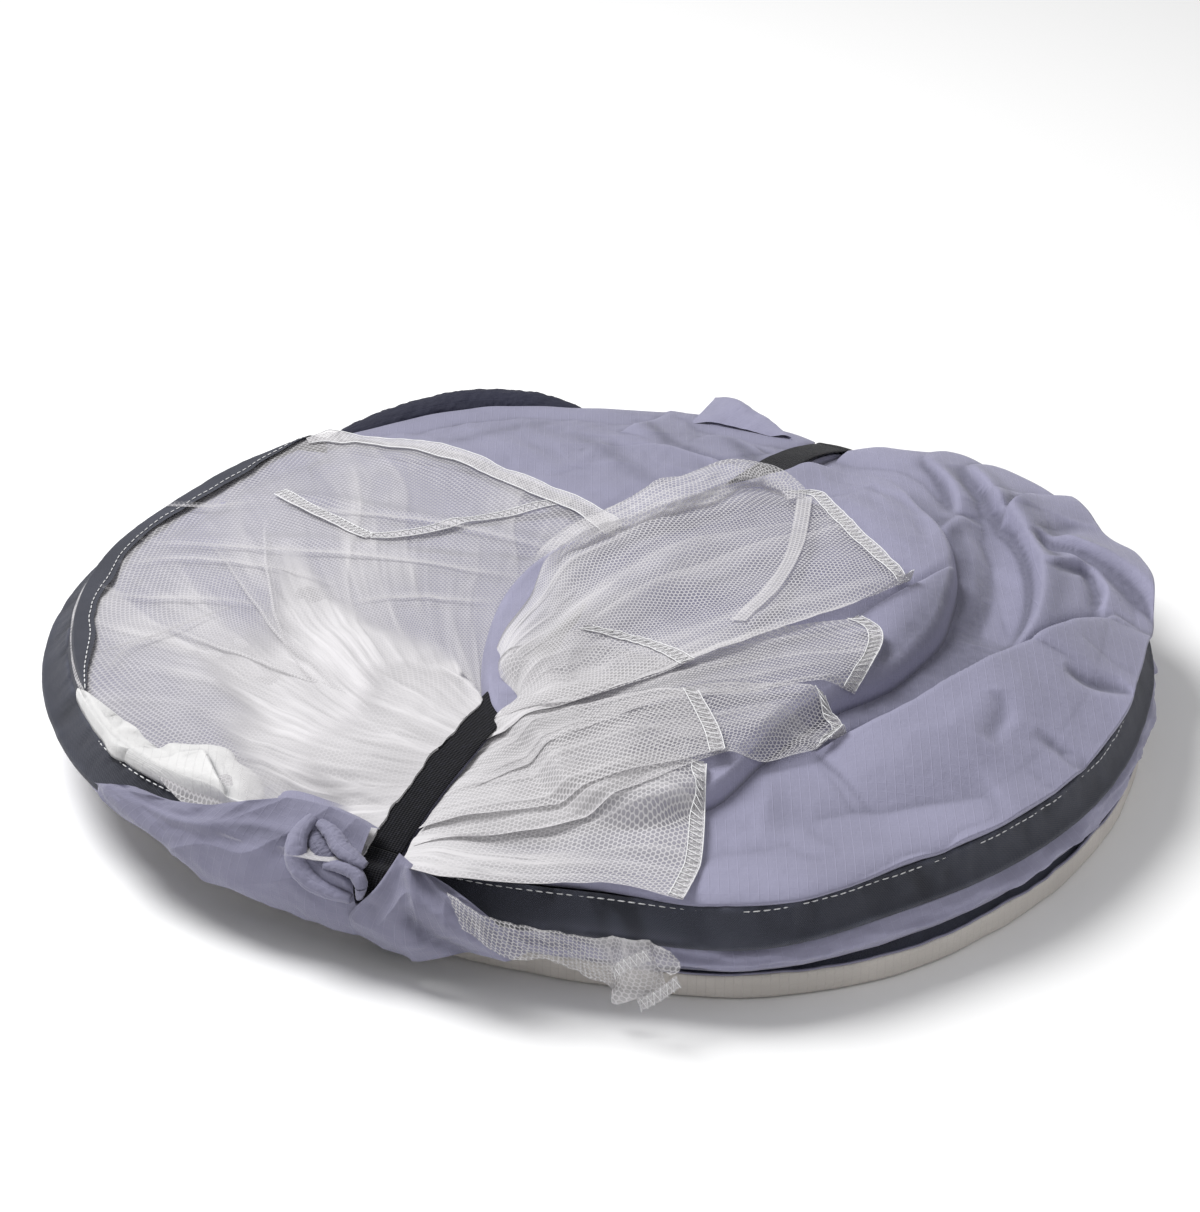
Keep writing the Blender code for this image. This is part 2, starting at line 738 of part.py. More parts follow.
def seam_run(offset):
    across = Vector((1, 1, 0)).normalized()
    seam = smooth_path(plan_shares(SEAM_SHARES), SEAM_POINTS, False)
    return [point + across * offset for point in seam]


def left_outline():
    side = -waist_half()
    rim = rim_run(*LEFT_LOBE_ANGLES)
    seam = seam_run(-SEAT)
    meet = strap_coordinates(seam[-1])[0]
    beside = strap_side_run(waist_corner(side, -1), meet, side, WAIST_POINTS_LEFT)
    return rim + beside + list(reversed(seam))


def back_outline():
    side = -waist_half()
    rim = rim_run(*BACK_LOBE_ANGLES)
    seam = seam_run(SEAT)
    meet = strap_coordinates(seam[-1])[0]
    return rim + seam + strap_side_run(meet, waist_corner(side, 1), side, WAIST_POINTS_LEFT)


def patch(name, outline, centre, low_of, top_of, edge, finish, group, parent, shares):
    """Cloth or net lying on a surface: closed between a lower and an upper height."""
    rings = [scaled_ring(outline, centre, share, low_of) for share in PATCH_FLOOR_SHARES]
    rings.append(scaled_ring(outline, centre, 1, lambda p: low_of(p) + edge))
    rings += [scaled_ring(outline, centre, share, top_of) for share in shares]
    poles = (Vector((centre.x, centre.y, low_of(centre))), Vector((centre.x, centre.y, top_of(centre))))
    return ring_solid(name, rings, poles, finish, group, parent)


def right_over_panel(finish, group, parent):
    """Upper wall panel folded over the right lobe, with its rounded edge."""
    outline = smooth_path(plan_shares(OVER_PANEL_SHARES), PATCH_SPOKES, True)
    centre = sum(outline, Vector()) / len(outline)

    def low(point):
        return dome(point, RIGHT_PUFF) + OVER_PANEL_LIFT

    def top(point):
        return max(over_top(point), low(point) + OVER_PANEL_EDGE)

    return patch("right_over_panel", outline, centre, low, top, OVER_PANEL_EDGE,
                 finish, group, parent, OVER_RING_SHARES)


def strap_surface(point):
    """Height of the strap's upper face, where it passes over the tape and the puffed cloth."""
    return dome(point, STRAP_ARCH) + TAPE_WALL + SLIT_WIDTH / 2 + STRAP_THICKNESS + SEAT


def strap_top(along):
    return strap_surface(strap_place(along, 0, 0))


def lip_top():
    return RIM_HEIGHT + LIP_HEIGHT + LIP_ROUND


def net_floor(point):
    """Surface that the nets lie on, clear of the cloth and the strap beneath."""
    return max(strap_surface(point), lip_top() + LAYER_GAP / 2) + SEAT


def pleats(point, centre, count, height):
    turn = math.atan2(point.y - centre.y, point.x - centre.x)
    return height * math.cos(count * turn)


def left_net(finish, group, parent):
    """Net of the left lobe, drawn to a bunch at the strap with pleats running to it."""
    outline = smooth_path(plan_shares(LEFT_NET_SHARES), PATCH_SPOKES, True)
    centre = plan_shares((LEFT_NET_CENTRE_SHARE,))[0]

    def low(point):
        return max(left_top(point), lip_top()) + LEFT_NET_LIFT

    def top(point):
        reach = min((point - centre).length / DISC_RADIUS, 1.0)
        rise = LEFT_NET_LOFT * (1 - LEFT_NET_FALL_SHARE * reach)
        return low(point) + rise + pleats(point, centre, LEFT_PLEATS, LEFT_PLEAT)

    return patch("left_net", outline, centre, low, top, NET_EDGE, finish, group, parent,
                 LEFT_NET_RING_SHARES)


def right_net_outline():
    return smooth_path(plan_shares(RIGHT_NET_SHARES), RIGHT_NET_SPOKES, True)


def right_net(finish, group, parent):
    """Net of the right lobe, thrown over the strap and the folded panel."""
    outline = right_net_outline()
    centre = plan_shares((RIGHT_NET_CENTRE_SHARE,))[0]

    def top(point):
        rise = RIGHT_NET_LOFT + pleats(point, centre, RIGHT_PLEATS, RIGHT_PLEAT)
        return net_floor(point) + rise

    return patch("right_net", outline, centre, net_floor, top, NET_EDGE, finish, group, parent,
                 RIGHT_NET_RING_SHARES)


def strip_sections(path, width, thickness, height_of):
    """Flat strip along a plan path, level across, lying at the given height."""
    sections = []
    for k, point in enumerate(path):
        before = path[max(k - 1, 0)]
        after = path[min(k + 1, len(path) - 1)]
        run = (after - before).normalized()
        across = Vector((-run.y, run.x, 0)) * (width / 2)
        low = Vector((0, 0, height_of(point)))
        high = low + Vector((0, 0, thickness))
        flat = Vector((point.x, point.y, 0))
        sections.append([flat - across + low, flat + across + low, flat + across + high,
                         flat - across + high])
    return sections


def nearest_index(points, target):
    return min(range(len(points)), key=lambda k: (points[k] - target).length)


def net_hem(name, end_shares, finish, group, parent):
    """Overlocked hem along the right net's own edge, between two places on it."""
    outline = right_net_outline()
    first, last = (nearest_index(outline, place) for place in plan_shares(end_shares))
    sections = []
    for k in range(first, last + 1):
        point = outline[k]
        run = (outline[(k + 1) % len(outline)] - outline[k - 1]).normalized()
        out = Vector((-run.y, run.x, 0))
        low = Vector((0, 0, net_floor(point) + SEAT))
        high = low + Vector((0, 0, HEM_THICKNESS))
        near, far = point + out * (2 * SEAT), point + out * HEM_WIDTH
        sections.append([near + low, far + low, far + high, near + high])
    return section_solid(name, sections, finish, group, parent)


def left_net_hem(finish, group, parent):
    """Selvedge of the left net along the seam line, above the back cloth."""
    path = seam_run(HEM_WIDTH / 2 + LAYER_GAP)[1:-1]
    sections = strip_sections(path, HEM_WIDTH, HEM_THICKNESS,
                              lambda p: max(back_top(p), left_top(p)) + HEM_LIFT)
    return section_solid("left_net_hem", sections, finish, group, parent)


def tube_sections(path, girth_of, sides):
    sections = []
    for k, point in enumerate(path):
        before = path[max(k - 1, 0)]
        after = path[min(k + 1, len(path) - 1)]
        run = (after - before).normalized()
        across = Vector((-run.y, run.x, 0)).normalized()
        up = run.cross(across)
        girth = girth_of(k)
        section = []
        for step in range(sides):
            turn = FULL_TURN * step / sides
            section.append(point + (across * math.cos(turn) + up * math.sin(turn)) * girth)
        sections.append(section)
    return sections


def net_roll(finish, group, parent):
    """Gathered roll of net lying in a loop at the back end of the strap."""
    flat = smooth_path(plan_shares(NET_ROLL_SHARES), NET_ROLL_STEPS, False)
    path = []
    for point in flat:
        height = net_floor(point) + NET_ROLL_RADIUS + SEAT
        path.append(Vector((point.x, point.y, height)))
    last = len(path) - 1

    def girth(k):
        swell = math.sin(math.pi * k / last)
        return NET_ROLL_RADIUS * (NET_ROLL_END_SHARE + (1 - NET_ROLL_END_SHARE) * swell)

    sections = tube_sections(path, girth, NET_ROLL_SIDES)
    return section_solid("net_roll", sections, finish, group, parent)


def back_roll(finish, group, parent):
    """Dark roll of cloth lying against the back of the rim, on the slope of the tape."""
    half_wall = (sleeve_radius() + SLIT_WIDTH / 2 + TAPE_WALL) / 2
    path = []
    for degrees, share in zip(BACK_ROLL_ANGLES, BACK_ROLL_GIRTH_SHARES):
        angle = math.radians(degrees)
        radius, height, tilt = tape_paths()["upper"](angle)
        stand = half_wall + SEAT + BACK_ROLL_RADIUS * share
        inward = TAPE_REACH / 2 * math.cos(tilt) - stand * math.sin(tilt)
        rise = TAPE_REACH / 2 * math.sin(tilt) + stand * math.cos(tilt)
        path.append(polar(radius - inward, angle, height + rise))
    girths = [BACK_ROLL_RADIUS * share for share in BACK_ROLL_GIRTH_SHARES]
    fine = smooth_path(path, 2 * len(path) - 1, False)

    def girth(k):
        return spline_value(girths, k / 2, False)

    sections = tube_sections(fine, girth, BACK_ROLL_SIDES)
    return section_solid("back_roll", sections, finish, group, parent)


def back_tab(finish, group, parent):
    """Pointed corner of cloth standing out at the back by the strap."""
    corners = plan_shares(BACK_TAB_SHARES)

    def layer(extra):
        return [corner + Vector((0, 0, RIM_HEIGHT + BACK_TAB_LIFT + extra)) for corner in corners]

    sections = [layer(LIP_ROUND), layer(LIP_ROUND + BACK_TAB_THICKNESS)]
    return section_solid("back_tab", sections, finish, group, parent)


def wall_stand(angle):
    """Plan radius clear outside every turn at an angle."""
    return max(top_rim(angle), base_rim(angle)) + FLAP_STAND_OFF


def wall_lean(angle, height):
    """Plan radius just clear of the stack's leaning side at a height."""
    foot = base_rim(angle) + TURN_CLEARANCE
    return foot + (wall_stand(angle) - foot) * min(height / (RIM_HEIGHT / 2), 1)


def front_flap_left(finish, group, parent):
    """Cloth turned up over the rim left of the strap, with its lip on top of the tape."""
    sections = []
    rows = zip(LEFT_FLAP_ANGLES, LEFT_FLAP_LIP_SHARES, LEFT_FLAP_FOOT_SHARES, LEFT_FLAP_TOP_SHARES)
    for degrees, lip_share, foot_share, top_share in rows:
        angle = math.radians(degrees)
        inner = wall_stand(angle)
        outer = inner + FLAP_THICKNESS
        low, under = RIM_HEIGHT * foot_share, (lip_top() + LAYER_GAP) * top_share
        middle = (low + under) / 2
        lip = inner - LEFT_FLAP_LIP * lip_share
        foot = wall_lean(angle, low)
        sections.append([
            polar(foot, angle, low), polar(foot + FLAP_THICKNESS, angle, low),
            polar(outer + LAYER_GAP, angle, middle),
            polar(outer, angle, under), polar(inner, angle, under + FLAP_THICKNESS),
            polar(lip, angle, under + FLAP_THICKNESS), polar(lip - LAYER_GAP, angle, under),
            polar(inner, angle, under - SEAT), polar(inner, angle, middle)])
    return section_solid("front_flap_left", sections, finish, group, parent)


def front_flap_right(finish, group, parent):
    """Cloth drawn across the rim right of the strap, falling away to the ground."""
    sections = []
    for degrees, share in zip(RIGHT_FLAP_ANGLES, RIGHT_FLAP_TOP_SHARES):
        angle = math.radians(degrees)
        inner = wall_stand(angle)
        outer = inner + FLAP_THICKNESS
        high = (RIM_HEIGHT + LIP_HEIGHT) * share
        foot = wall_lean(angle, FLAP_FOOT)
        sections.append([
            polar(foot, angle, FLAP_FOOT), polar(foot + FLAP_THICKNESS, angle, FLAP_FOOT),
            polar(outer + LAYER_GAP, angle, high / 2), polar(outer, angle, high),
            polar(inner, angle, high), polar(inner, angle, high / 2)])
    return section_solid("front_flap_right", sections, finish, group, parent)


def net_corner(finish, group, parent):
    """Corner of the net hanging out in front of the rim."""
    sections = []
    rows = zip(NET_CORNER_ANGLES, NET_CORNER_LOW_SHARES, NET_CORNER_HIGH_SHARES)
    for degrees, low_share, high_share in rows:
        angle = math.radians(degrees)
        inner = wall_stand(angle) + FLAP_THICKNESS + LAYER_GAP + SEAT
        outer = inner + NET_CORNER_THICKNESS
        low, high = RIM_HEIGHT * low_share, RIM_HEIGHT * high_share
        sections.append([polar(inner, angle, low), polar(outer, angle, low),
                         polar(outer, angle, high), polar(inner, angle, high)])
    return section_solid("net_corner", sections, finish, group, parent)


def strap_reach(end):
    """Where along its line the strap turns down over the rim, front (-1) or back (1)."""
    return strap_crossing(stitched_edge, end, max)


def ribbon(name, path, finish, group, parent=None):
    """Elastic webbing along (along, height) points, of even thickness."""
    sections = []
    for k, (along, height) in enumerate(path):
        before, after = path[max(k - 1, 0)], path[min(k + 1, len(path) - 1)]
        run = Vector((after[0] - before[0], after[1] - before[1])).normalized()
        out = Vector((-run.y, run.x)) * (STRAP_THICKNESS / 2)
        half = STRAP_WIDTH / 2
        sections.append([
            strap_place(along - out.x, -half, height - out.y),
            strap_place(along - out.x, half, height - out.y),
            strap_place(along + out.x, half, height + out.y),
            strap_place(along + out.x, -half, height + out.y)])
    return section_solid(name, sections, finish, group, parent)


def strap_upper(finish, group, parent):
    start, end = strap_reach(-1), strap_reach(1)
    path = []
    for k in range(STRAP_STEPS + 1):
        along = start + (end - start) * k / STRAP_STEPS
        path.append((along, strap_top(along) - STRAP_THICKNESS / 2))
    return ribbon("strap_upper", path, finish, group, parent)


def strap_foot(end):
    return strap_crossing(base_rim, end, max) + end * STRAP_THICKNESS


def strap_low_height():
    return CHANNEL_CLEARANCE + STRAP_THICKNESS / 2


def strap_lower(finish, group):
    path = [(strap_foot(-1), strap_low_height()), (strap_foot(1), strap_low_height())]
    return ribbon("strap_lower", path, finish, group)


def strap_fall(name, end, finish, group):
    """The strap's fall over the rim, from its upper run to its lower run."""
    angle = STRAP_ANGLE + (math.pi if end < 0 else 0.0)
    rim = strap_crossing(top_rim, end, max) + end * STRAP_THICKNESS
    _radius, wire_height, _tilt = tape_paths()["upper"](angle)
    top = strap_top(strap_reach(end)) - STRAP_THICKNESS / 2
    start = strap_reach(end) + end * STRAP_THICKNESS
    path = [(start, top - STRAP_THICKNESS / 2),
            (rim - end * LAYER_GAP, (top + wire_height) / 2),
            (rim, wire_height),
            (strap_foot(end) + end * 2 * STRAP_THICKNESS, GROUND_WALL_HEIGHT),
            (strap_foot(end) + end * STRAP_THICKNESS, 2 * strap_low_height() + SEAT)]
    return ribbon(name, path, finish, group)


def waist_gather(finish, group, parent):
    """Cloth drawn together under the strap, between the two lobes."""
    start, end = waist_corner(0, -1), waist_corner(0, 1)
    low = band_top() + SEAT
    half = STRAP_WIDTH / 2
    sections = []
    for k in range(GATHER_STEPS + 1):
        along = start + (end - start) * k / GATHER_STEPS
        high = strap_top(along) - STRAP_THICKNESS - SEAT - LAYER_DIP / 4
        sections.append([strap_place(along, -half, low), strap_place(along, half, low),
                         strap_place(along, half, high), strap_place(along, -half, high)])
    return section_solid("waist_gather", sections, finish, group, parent)


def hinge_empty(name, height, group):
    forward, _across = strap_frame()
    empty = bpy.data.objects.new(name, None)
    group.objects.link(empty)
    empty.location = forward * (DISC_RADIUS - HINGE_INSET) + Vector((0, 0, height))
    empty.rotation_euler = (0, 0, STRAP_ANGLE + math.pi / 2)
    bpy.context.view_layer.update()
    return empty


def make_finishes():
    return {
        "blue": make_material("cloth_blue", CLOTH_BLUE, 0.62),
        "navy": make_material("cloth_navy", CLOTH_NAVY, 0.70),
        "cream": make_material("cloth_cream", CLOTH_CREAM, 0.75),
        "tape": make_material("tape_grey", TAPE_GREY, 0.80),
        "net": make_material("net_white", NET_WHITE, 0.70),
        "elastic": make_material("elastic_black", ELASTIC_BLACK, 0.85),
        "steel": make_material("spring_steel", STEEL, 0.35, 1.0),
    }


def lower_turn(looks, paths, group, cutters):
    sheet = ground_sheet(looks["cream"], group)
    cut(sheet, strap_channel(cutters))
    tape("lower_tape", paths["lower"], looks["tape"], group, None)
    wire("lower_wire", wire_points(paths["lower"]), True, looks["steel"], group, None)

    def inside(angle):
        return lower_edge(angle) - SEAT

    disc_layers("lower_layers", inside, GROUND_THICKNESS + SEAT, LOWER_LAYERS_TOP, LAYER_DIP,
                looks["blue"], group)
    strap_lower(looks["elastic"], group)
    strap_fall("strap_front", -1, looks["elastic"], group)
    strap_fall("strap_back", 1, looks["elastic"], group)


def middle_turn(looks, paths, group, hinge):
    tape("middle_tape", paths["middle"], looks["tape"], group, hinge)
    wire("middle_wire", wire_points(paths["middle"]), True, looks["steel"], group, hinge)

    def inside(angle):
        return middle_edge(angle) - 2 * TAPE_WALL

    disc_layers("middle_layers", inside, LOWER_LAYERS_TOP + SEAT, middle_layers_top(), LAYER_DIP,
                looks["blue"], group, hinge)


def upper_turn(looks, paths, group, hinge):
    tape("upper_tape", paths["upper"], looks["tape"], group, hinge)
    middle, run = upper_wire_and_ferrule(paths["upper"], looks["steel"], group, hinge)
    ferrule(middle, run, looks["steel"], group, hinge)
    upper_band(paths["upper"], looks["blue"], group, hinge)
    lobe("right_panel", right_outline(), right_top, looks["blue"], group, hinge)
    lobe("left_panel", left_outline(), left_top, looks["blue"], group, hinge)
    lobe("back_panel", back_outline(), back_top, looks["blue"], group, hinge)
    right_over_panel(looks["blue"], group, hinge)
    waist_gather(looks["blue"], group, hinge)
    back_roll(looks["navy"], group, hinge)
    back_tab(looks["blue"], group, hinge)
    front_flap_left(looks["blue"], group, hinge)
    front_flap_right(looks["blue"], group, hinge)
    strap_upper(looks["elastic"], group, hinge)


def nets(looks, group, hinge):
    left_net(looks["net"], group, hinge)
    left_net_hem(looks["net"], group, hinge)
    right_net(looks["net"], group, hinge)
    for name, end_shares in HEM_END_SHARES.items():
        net_hem(name, end_shares, looks["net"], group, hinge)
    net_roll(looks["net"], group, hinge)
    net_corner(looks["net"], group, hinge)


def main():
    clear_scene()
    group = make_collection("mosquito_net_tent")
    cutters = make_collection("cutters")
    looks = make_finishes()
    paths = tape_paths()
    middle_hinge = hinge_empty("middle_hinge", middle_wire_height() + MIDDLE_HINGE_RISE, group)
    upper_hinge = hinge_empty("upper_hinge", RIM_HEIGHT - UPPER_HINGE_DROP, group)
    lower_turn(looks, paths, group, cutters)
    middle_turn(looks, paths, group, middle_hinge)
    upper_turn(looks, paths, group, upper_hinge)
    nets(looks, group, upper_hinge)


main()
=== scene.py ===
"""Folded mosquito net tent: its cloth, net, tapes, strap and stitching, dressed over the
packed frame. Metres, +Z up; the origin is on the ground under the middle of the disc."""
import math

import bmesh
import bpy
import numpy as np
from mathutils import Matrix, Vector


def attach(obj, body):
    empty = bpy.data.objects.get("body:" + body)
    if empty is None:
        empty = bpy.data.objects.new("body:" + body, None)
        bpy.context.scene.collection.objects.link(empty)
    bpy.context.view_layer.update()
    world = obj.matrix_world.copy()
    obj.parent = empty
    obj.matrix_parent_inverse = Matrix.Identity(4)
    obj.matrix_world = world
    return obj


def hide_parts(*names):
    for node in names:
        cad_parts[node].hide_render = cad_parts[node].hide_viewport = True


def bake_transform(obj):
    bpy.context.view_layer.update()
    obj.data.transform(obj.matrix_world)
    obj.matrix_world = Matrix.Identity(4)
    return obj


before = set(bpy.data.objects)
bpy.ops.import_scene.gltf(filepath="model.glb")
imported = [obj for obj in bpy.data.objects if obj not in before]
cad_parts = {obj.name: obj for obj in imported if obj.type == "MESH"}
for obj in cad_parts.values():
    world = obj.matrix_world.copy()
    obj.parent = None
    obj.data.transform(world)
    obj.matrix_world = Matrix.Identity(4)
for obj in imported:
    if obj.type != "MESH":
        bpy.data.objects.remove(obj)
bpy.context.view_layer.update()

bl_info = {
    "name": "Folded mosquito net tent",
    "version": (1, 0, 0),
    "blender": (4, 5, 0),
    "location": "View3D > Sidebar > Net tent",
    "description": "Builds the cloth, net, tapes and strap of the folded tent",
    "category": "Add Mesh",
}


# Overall sizes of the folded disc
DISC_RADIUS = 0.290
RIM_HEIGHT = 0.056
LIP_HEIGHT = 0.0022
LIP_ROUND = 0.0050
SLEEVE_RADIUS = 0.0032
TAPE_REACH = 0.0175
TAPE_WALL = 0.0008
GROUND_WALL = 0.0015
TAPE_HALF = TAPE_WALL + 0.0004
LOW_WIRE_HEIGHT = 0.0067
MIDDLE_WIRE_INSET = GROUND_WALL + 0.0015
LOWER_WIRE_INSET = 0.01596
STRAP_WIDTH = 0.020
STRAP_SIDE = STRAP_WIDTH / 2 + 0.0006
STRAP_LIFT = 0.0030
SEAM_END = 0.063
STRAP_THICKNESS = 0.0015
STRAP_ANGLE = math.radians(61.3)
STRAP_OFFSET = 0.0157
STRAP_ARCH = 0.0275
GROUND_WALL_HEIGHT = 0.0136
OVERHANG_REACH = 0.0120
MIDDLE_TILT = 62.0
LOWER_TILT = 1.0
NARROWEST_SHEET = 0.0102
FULL_TURN = 2 * math.pi

# Every 15 degrees from +X: radii as shares of the disc, tilts in degrees
TOP_RIM_SHARES = (
    1.016, 1.028, 1.031, 0.979, 0.909, 0.917, 0.952, 1.007, 1.000, 1.003, 1.000, 1.019,
    1.019, 1.007, 0.986, 0.931, 0.884, 0.903, 0.924, 0.979, 0.969, 0.979, 0.990, 0.997)
BASE_RIM_SHARES = (
    0.997, 1.003, 0.993, 0.945, 0.883, 0.890, 0.910, 0.945, 0.938, 0.945, 0.948, 0.945,
    0.931, 0.914, 0.876, 0.834, 0.807, 0.821, 0.862, 0.931, 0.966, 0.969, 0.976, 0.986)
UPPER_TILTS = (
    68, 66, 64, 62, 60, 58, 56, 54, 52, 50, 48, 46,
    46, 46, 48, 50, 52, 50, 54, 68, 72, 72, 72, 70)
OVERHANG_SHARES = (
    0.55, 0.80, 0.95, 1.00, 0.80, 0.90, 0.55, 0.10, 0.05, 0.05, 0.05, 0.05,
    0.05, 0.05, 0.05, 0.05, 0.05, 0.05, 0.05, 0.05, 0.05, 0.05, 0.05, 0.25)


def mm(*points):
    """Places given in millimetres."""
    return np.array(points) / 1000


# Sizes and colours
def length(name, default, description):
    return bpy.props.FloatProperty(name=name, description=description, default=default, unit="LENGTH")


def colour(name, default, description):
    return bpy.props.FloatVectorProperty(name=name, description=description, default=default,
                                         subtype="COLOR", size=3)


class TentSizes(bpy.types.PropertyGroup):
    """Sizes of the weave, the net and the stitching"""
    ripstop_pitch: length("Ripstop pitch", 0.0046, "Distance between the thick yarns of the ripstop cloth")
    net_pitch: length("Net pitch", 0.0025, "Distance between the holes of the hexagonal net")
    net_thread: bpy.props.FloatProperty(
        name="Net thread", description="Half width of a thread of the net, as a share of the pitch",
        default=0.13, subtype="FACTOR")
    stitch_length: length("Stitch length", 0.0040, "Length of one stitch along the tapes")
    stitch_gap: length("Stitch gap", 0.0009, "Gap between two stitches along the tapes")
    thread_radius: length("Thread radius", 0.00032, "Radius of the sewing thread")
    hem_width: length("Hem width", 0.0075, "Width of the overlocked hems of the net")


class TentColours(bpy.types.PropertyGroup):
    """Colours of the cloth, net, tapes and strap"""
    cloth: colour("Cloth", (0.288, 0.282, 0.396), "Blue grey ripstop cloth of the tent's walls")
    # Painted shade: a dark colour for the roll of blue grey cloth, standing for the shade it lies in.
    shaded_roll: colour("Roll", (0.014, 0.015, 0.034), "Dark roll of cloth at the back")
    cream: colour("Ground sheet", (0.660, 0.620, 0.580), "Cream ground sheet cloth")
    lining: colour("Lining", (0.720, 0.715, 0.715), "Pale cloth that lies under the net at the left")
    tape: colour("Tape", (0.045, 0.048, 0.066), "Grey tape sewn round the spring wire")
    net: colour("Net", (0.630, 0.615, 0.632), "White polyester net")
    thread: colour("Thread", (0.860, 0.860, 0.870), "White sewing thread")
    elastic: colour("Strap", (0.005, 0.005, 0.008), "Dark woven elastic strap")
    steel: colour("Wire", (0.420, 0.410, 0.400), "Spring steel wire in the sleeves")


class StudioSettings(bpy.types.PropertyGroup):
    """Floor and light of the studio"""
    floor_colour: colour("Floor", (0.96, 0.96, 0.96), "Pale studio floor")
    sky: bpy.props.FloatProperty(
        name="Sky", description="Strength of the even light from all sides", default=0.40)
    key: bpy.props.FloatProperty(
        name="Key light", description="Power of the large soft light overhead at the left",
        default=45.0, subtype="POWER")
    side: bpy.props.FloatProperty(
        name="Side light", description="Power of the weaker light from the front right",
        default=4.0, subtype="POWER")


def sizes():
    return bpy.context.scene.tent_sizes


def colours():
    return bpy.context.scene.tent_colours


# Curves and noise
def spline(points, places, closed=False):
    """Catmull-Rom values at places counted in control steps."""
    points = np.asarray(points, float)
    count = len(points)
    places = np.asarray(places, float)
    index = np.floor(places).astype(int)
    part = places - index
    if closed:
        picks = [points[(index + k) % count] for k in (-1, 0, 1, 2)]
    else:
        picks = [points[np.clip(index + k, 0, count - 1)] for k in (-1, 0, 1, 2)]
    if points.ndim > 1:
        part = part.reshape(part.shape + (1,) * (points.ndim - 1))
    before, start, end, after = picks
    slope_in, slope_out = (end - before) / 2, (after - start) / 2
    square, cube = part ** 2, part ** 3
    return (start * (2 * cube - 3 * square + 1) + slope_in * (cube - 2 * square + part)
            + end * (3 * square - 2 * cube) + slope_out * (cube - square))


def distances(points):
    """Distance along a line at each of its points."""
    return np.concatenate([[0.0], np.cumsum(np.linalg.norm(np.diff(points, axis=0), axis=1))])


def picked(wanted, along, points):
    """Values at the wanted places along a line, from those at its points."""
    return np.stack([np.interp(wanted, along, points[:, k]) for k in range(points.shape[1])], axis=-1)


def evenly(points, count, closed=False):
    """Evenly spaced points along straight runs; a closed line's last point is left out."""
    along = distances(points)
    return picked(np.linspace(0, along[-1], count + closed)[:count], along, points)


def even_curve(points, count, closed=False):
    """Evenly spaced points on the smooth curve through the given ones."""
    span = len(points) if closed else len(points) - 1
    return evenly(spline(points, np.linspace(0, span, 24 * len(points) + 1), closed), count, closed)


def across_of(path):
    """Unit vectors to the left of a flat path."""
    run = np.gradient(path, axis=0)
    run /= np.linalg.norm(run, axis=1, keepdims=True)
    return np.stack([-run[:, 1], run[:, 0]], axis=1)


def polar(radius, angle, height):
    """Points round the middle of the disc."""
    return np.stack(np.broadcast_arrays(radius * np.cos(angle), radius * np.sin(angle), height), axis=-1)


def with_height(plan, height):
    return np.concatenate([plan, height[..., None]], axis=-1)


def table(shares, angle):
    return spline(shares, (np.asarray(angle) % FULL_TURN) / FULL_TURN * len(shares), True)


def top_rim(angle):
    return table(TOP_RIM_SHARES, angle) * DISC_RADIUS


def base_rim(angle):
    return table(BASE_RIM_SHARES, angle) * DISC_RADIUS


def upper_tilt(angle):
    return np.radians(table(UPPER_TILTS, angle))


def stitched_edge(angle):
    return top_rim(angle) - SLEEVE_RADIUS - TAPE_REACH * np.cos(upper_tilt(angle))


def smooth(low, high, value):
    part = np.clip((value - low) / (high - low), 0, 1)
    return part * part * (3 - 2 * part)


def lattice(across, up, seed):
    mixed = across * 374761393 + up * 668265263 + seed * 974711
    mixed = (mixed ^ (mixed >> 13)) * 1274126177 & 0x7FFFFFFF
    return ((mixed ^ (mixed >> 16)) & 0xFFFF) / 32767.5 - 1


def noise(x, y, seed):
    """Smooth noise between -1 and 1, one wave to a unit."""
    x, y = np.asarray(x, float), np.asarray(y, float)
    across, up = np.floor(x).astype(np.int64), np.floor(y).astype(np.int64)
    fx, fy = x - across, y - up
    fx, fy = fx * fx * (3 - 2 * fx), fy * fy * (3 - 2 * fy)
    low = lattice(across, up, seed) * (1 - fx) + lattice(across + 1, up, seed) * fx
    high = lattice(across, up + 1, seed) * (1 - fx) + lattice(across + 1, up + 1, seed) * fx
    return low * (1 - fy) + high * fy


def ripple(x, y, seed, octaves=3):
    """Several sizes of noise added up."""
    total, weight = 0.0, 1.0
    for octave in range(octaves):
        total = total + noise(x * 2 ** octave, y * 2 ** octave, seed + octave) * weight
        weight *= 0.5
    return total


def creased(x, y, seed):
    """Noise with sharp crests, as pinched cloth has."""
    return 1 - 2 * np.abs(noise(x, y, seed)) ** 0.8


def along_line(x, y, points):
    """Signed distance to a line (positive on its left) and the share along it."""
    line = even_curve(points, 8 * len(points))
    best = np.full(x.shape, 1e9)
    signed = np.zeros(x.shape)
    share = np.zeros(x.shape)
    steps = len(line) - 1
    for k in range(steps):
        start, run = line[k], line[k + 1] - line[k]
        length = np.dot(run, run)
        part = np.clip(((x - start[0]) * run[0] + (y - start[1]) * run[1]) / length, 0, 1)
        gap_x, gap_y = x - start[0] - part * run[0], y - start[1] - part * run[1]
        gap = np.hypot(gap_x, gap_y)
        nearer = gap < best
        best = np.where(nearer, gap, best)
        side = np.sign(run[0] * gap_y - run[1] * gap_x)
        signed = np.where(nearer, gap * side, signed)
        share = np.where(nearer, (k + part) / steps, share)
    return signed, share


def ends(share, power=0.6):
    return np.clip(np.sin(math.pi * share), 0, 1) ** power


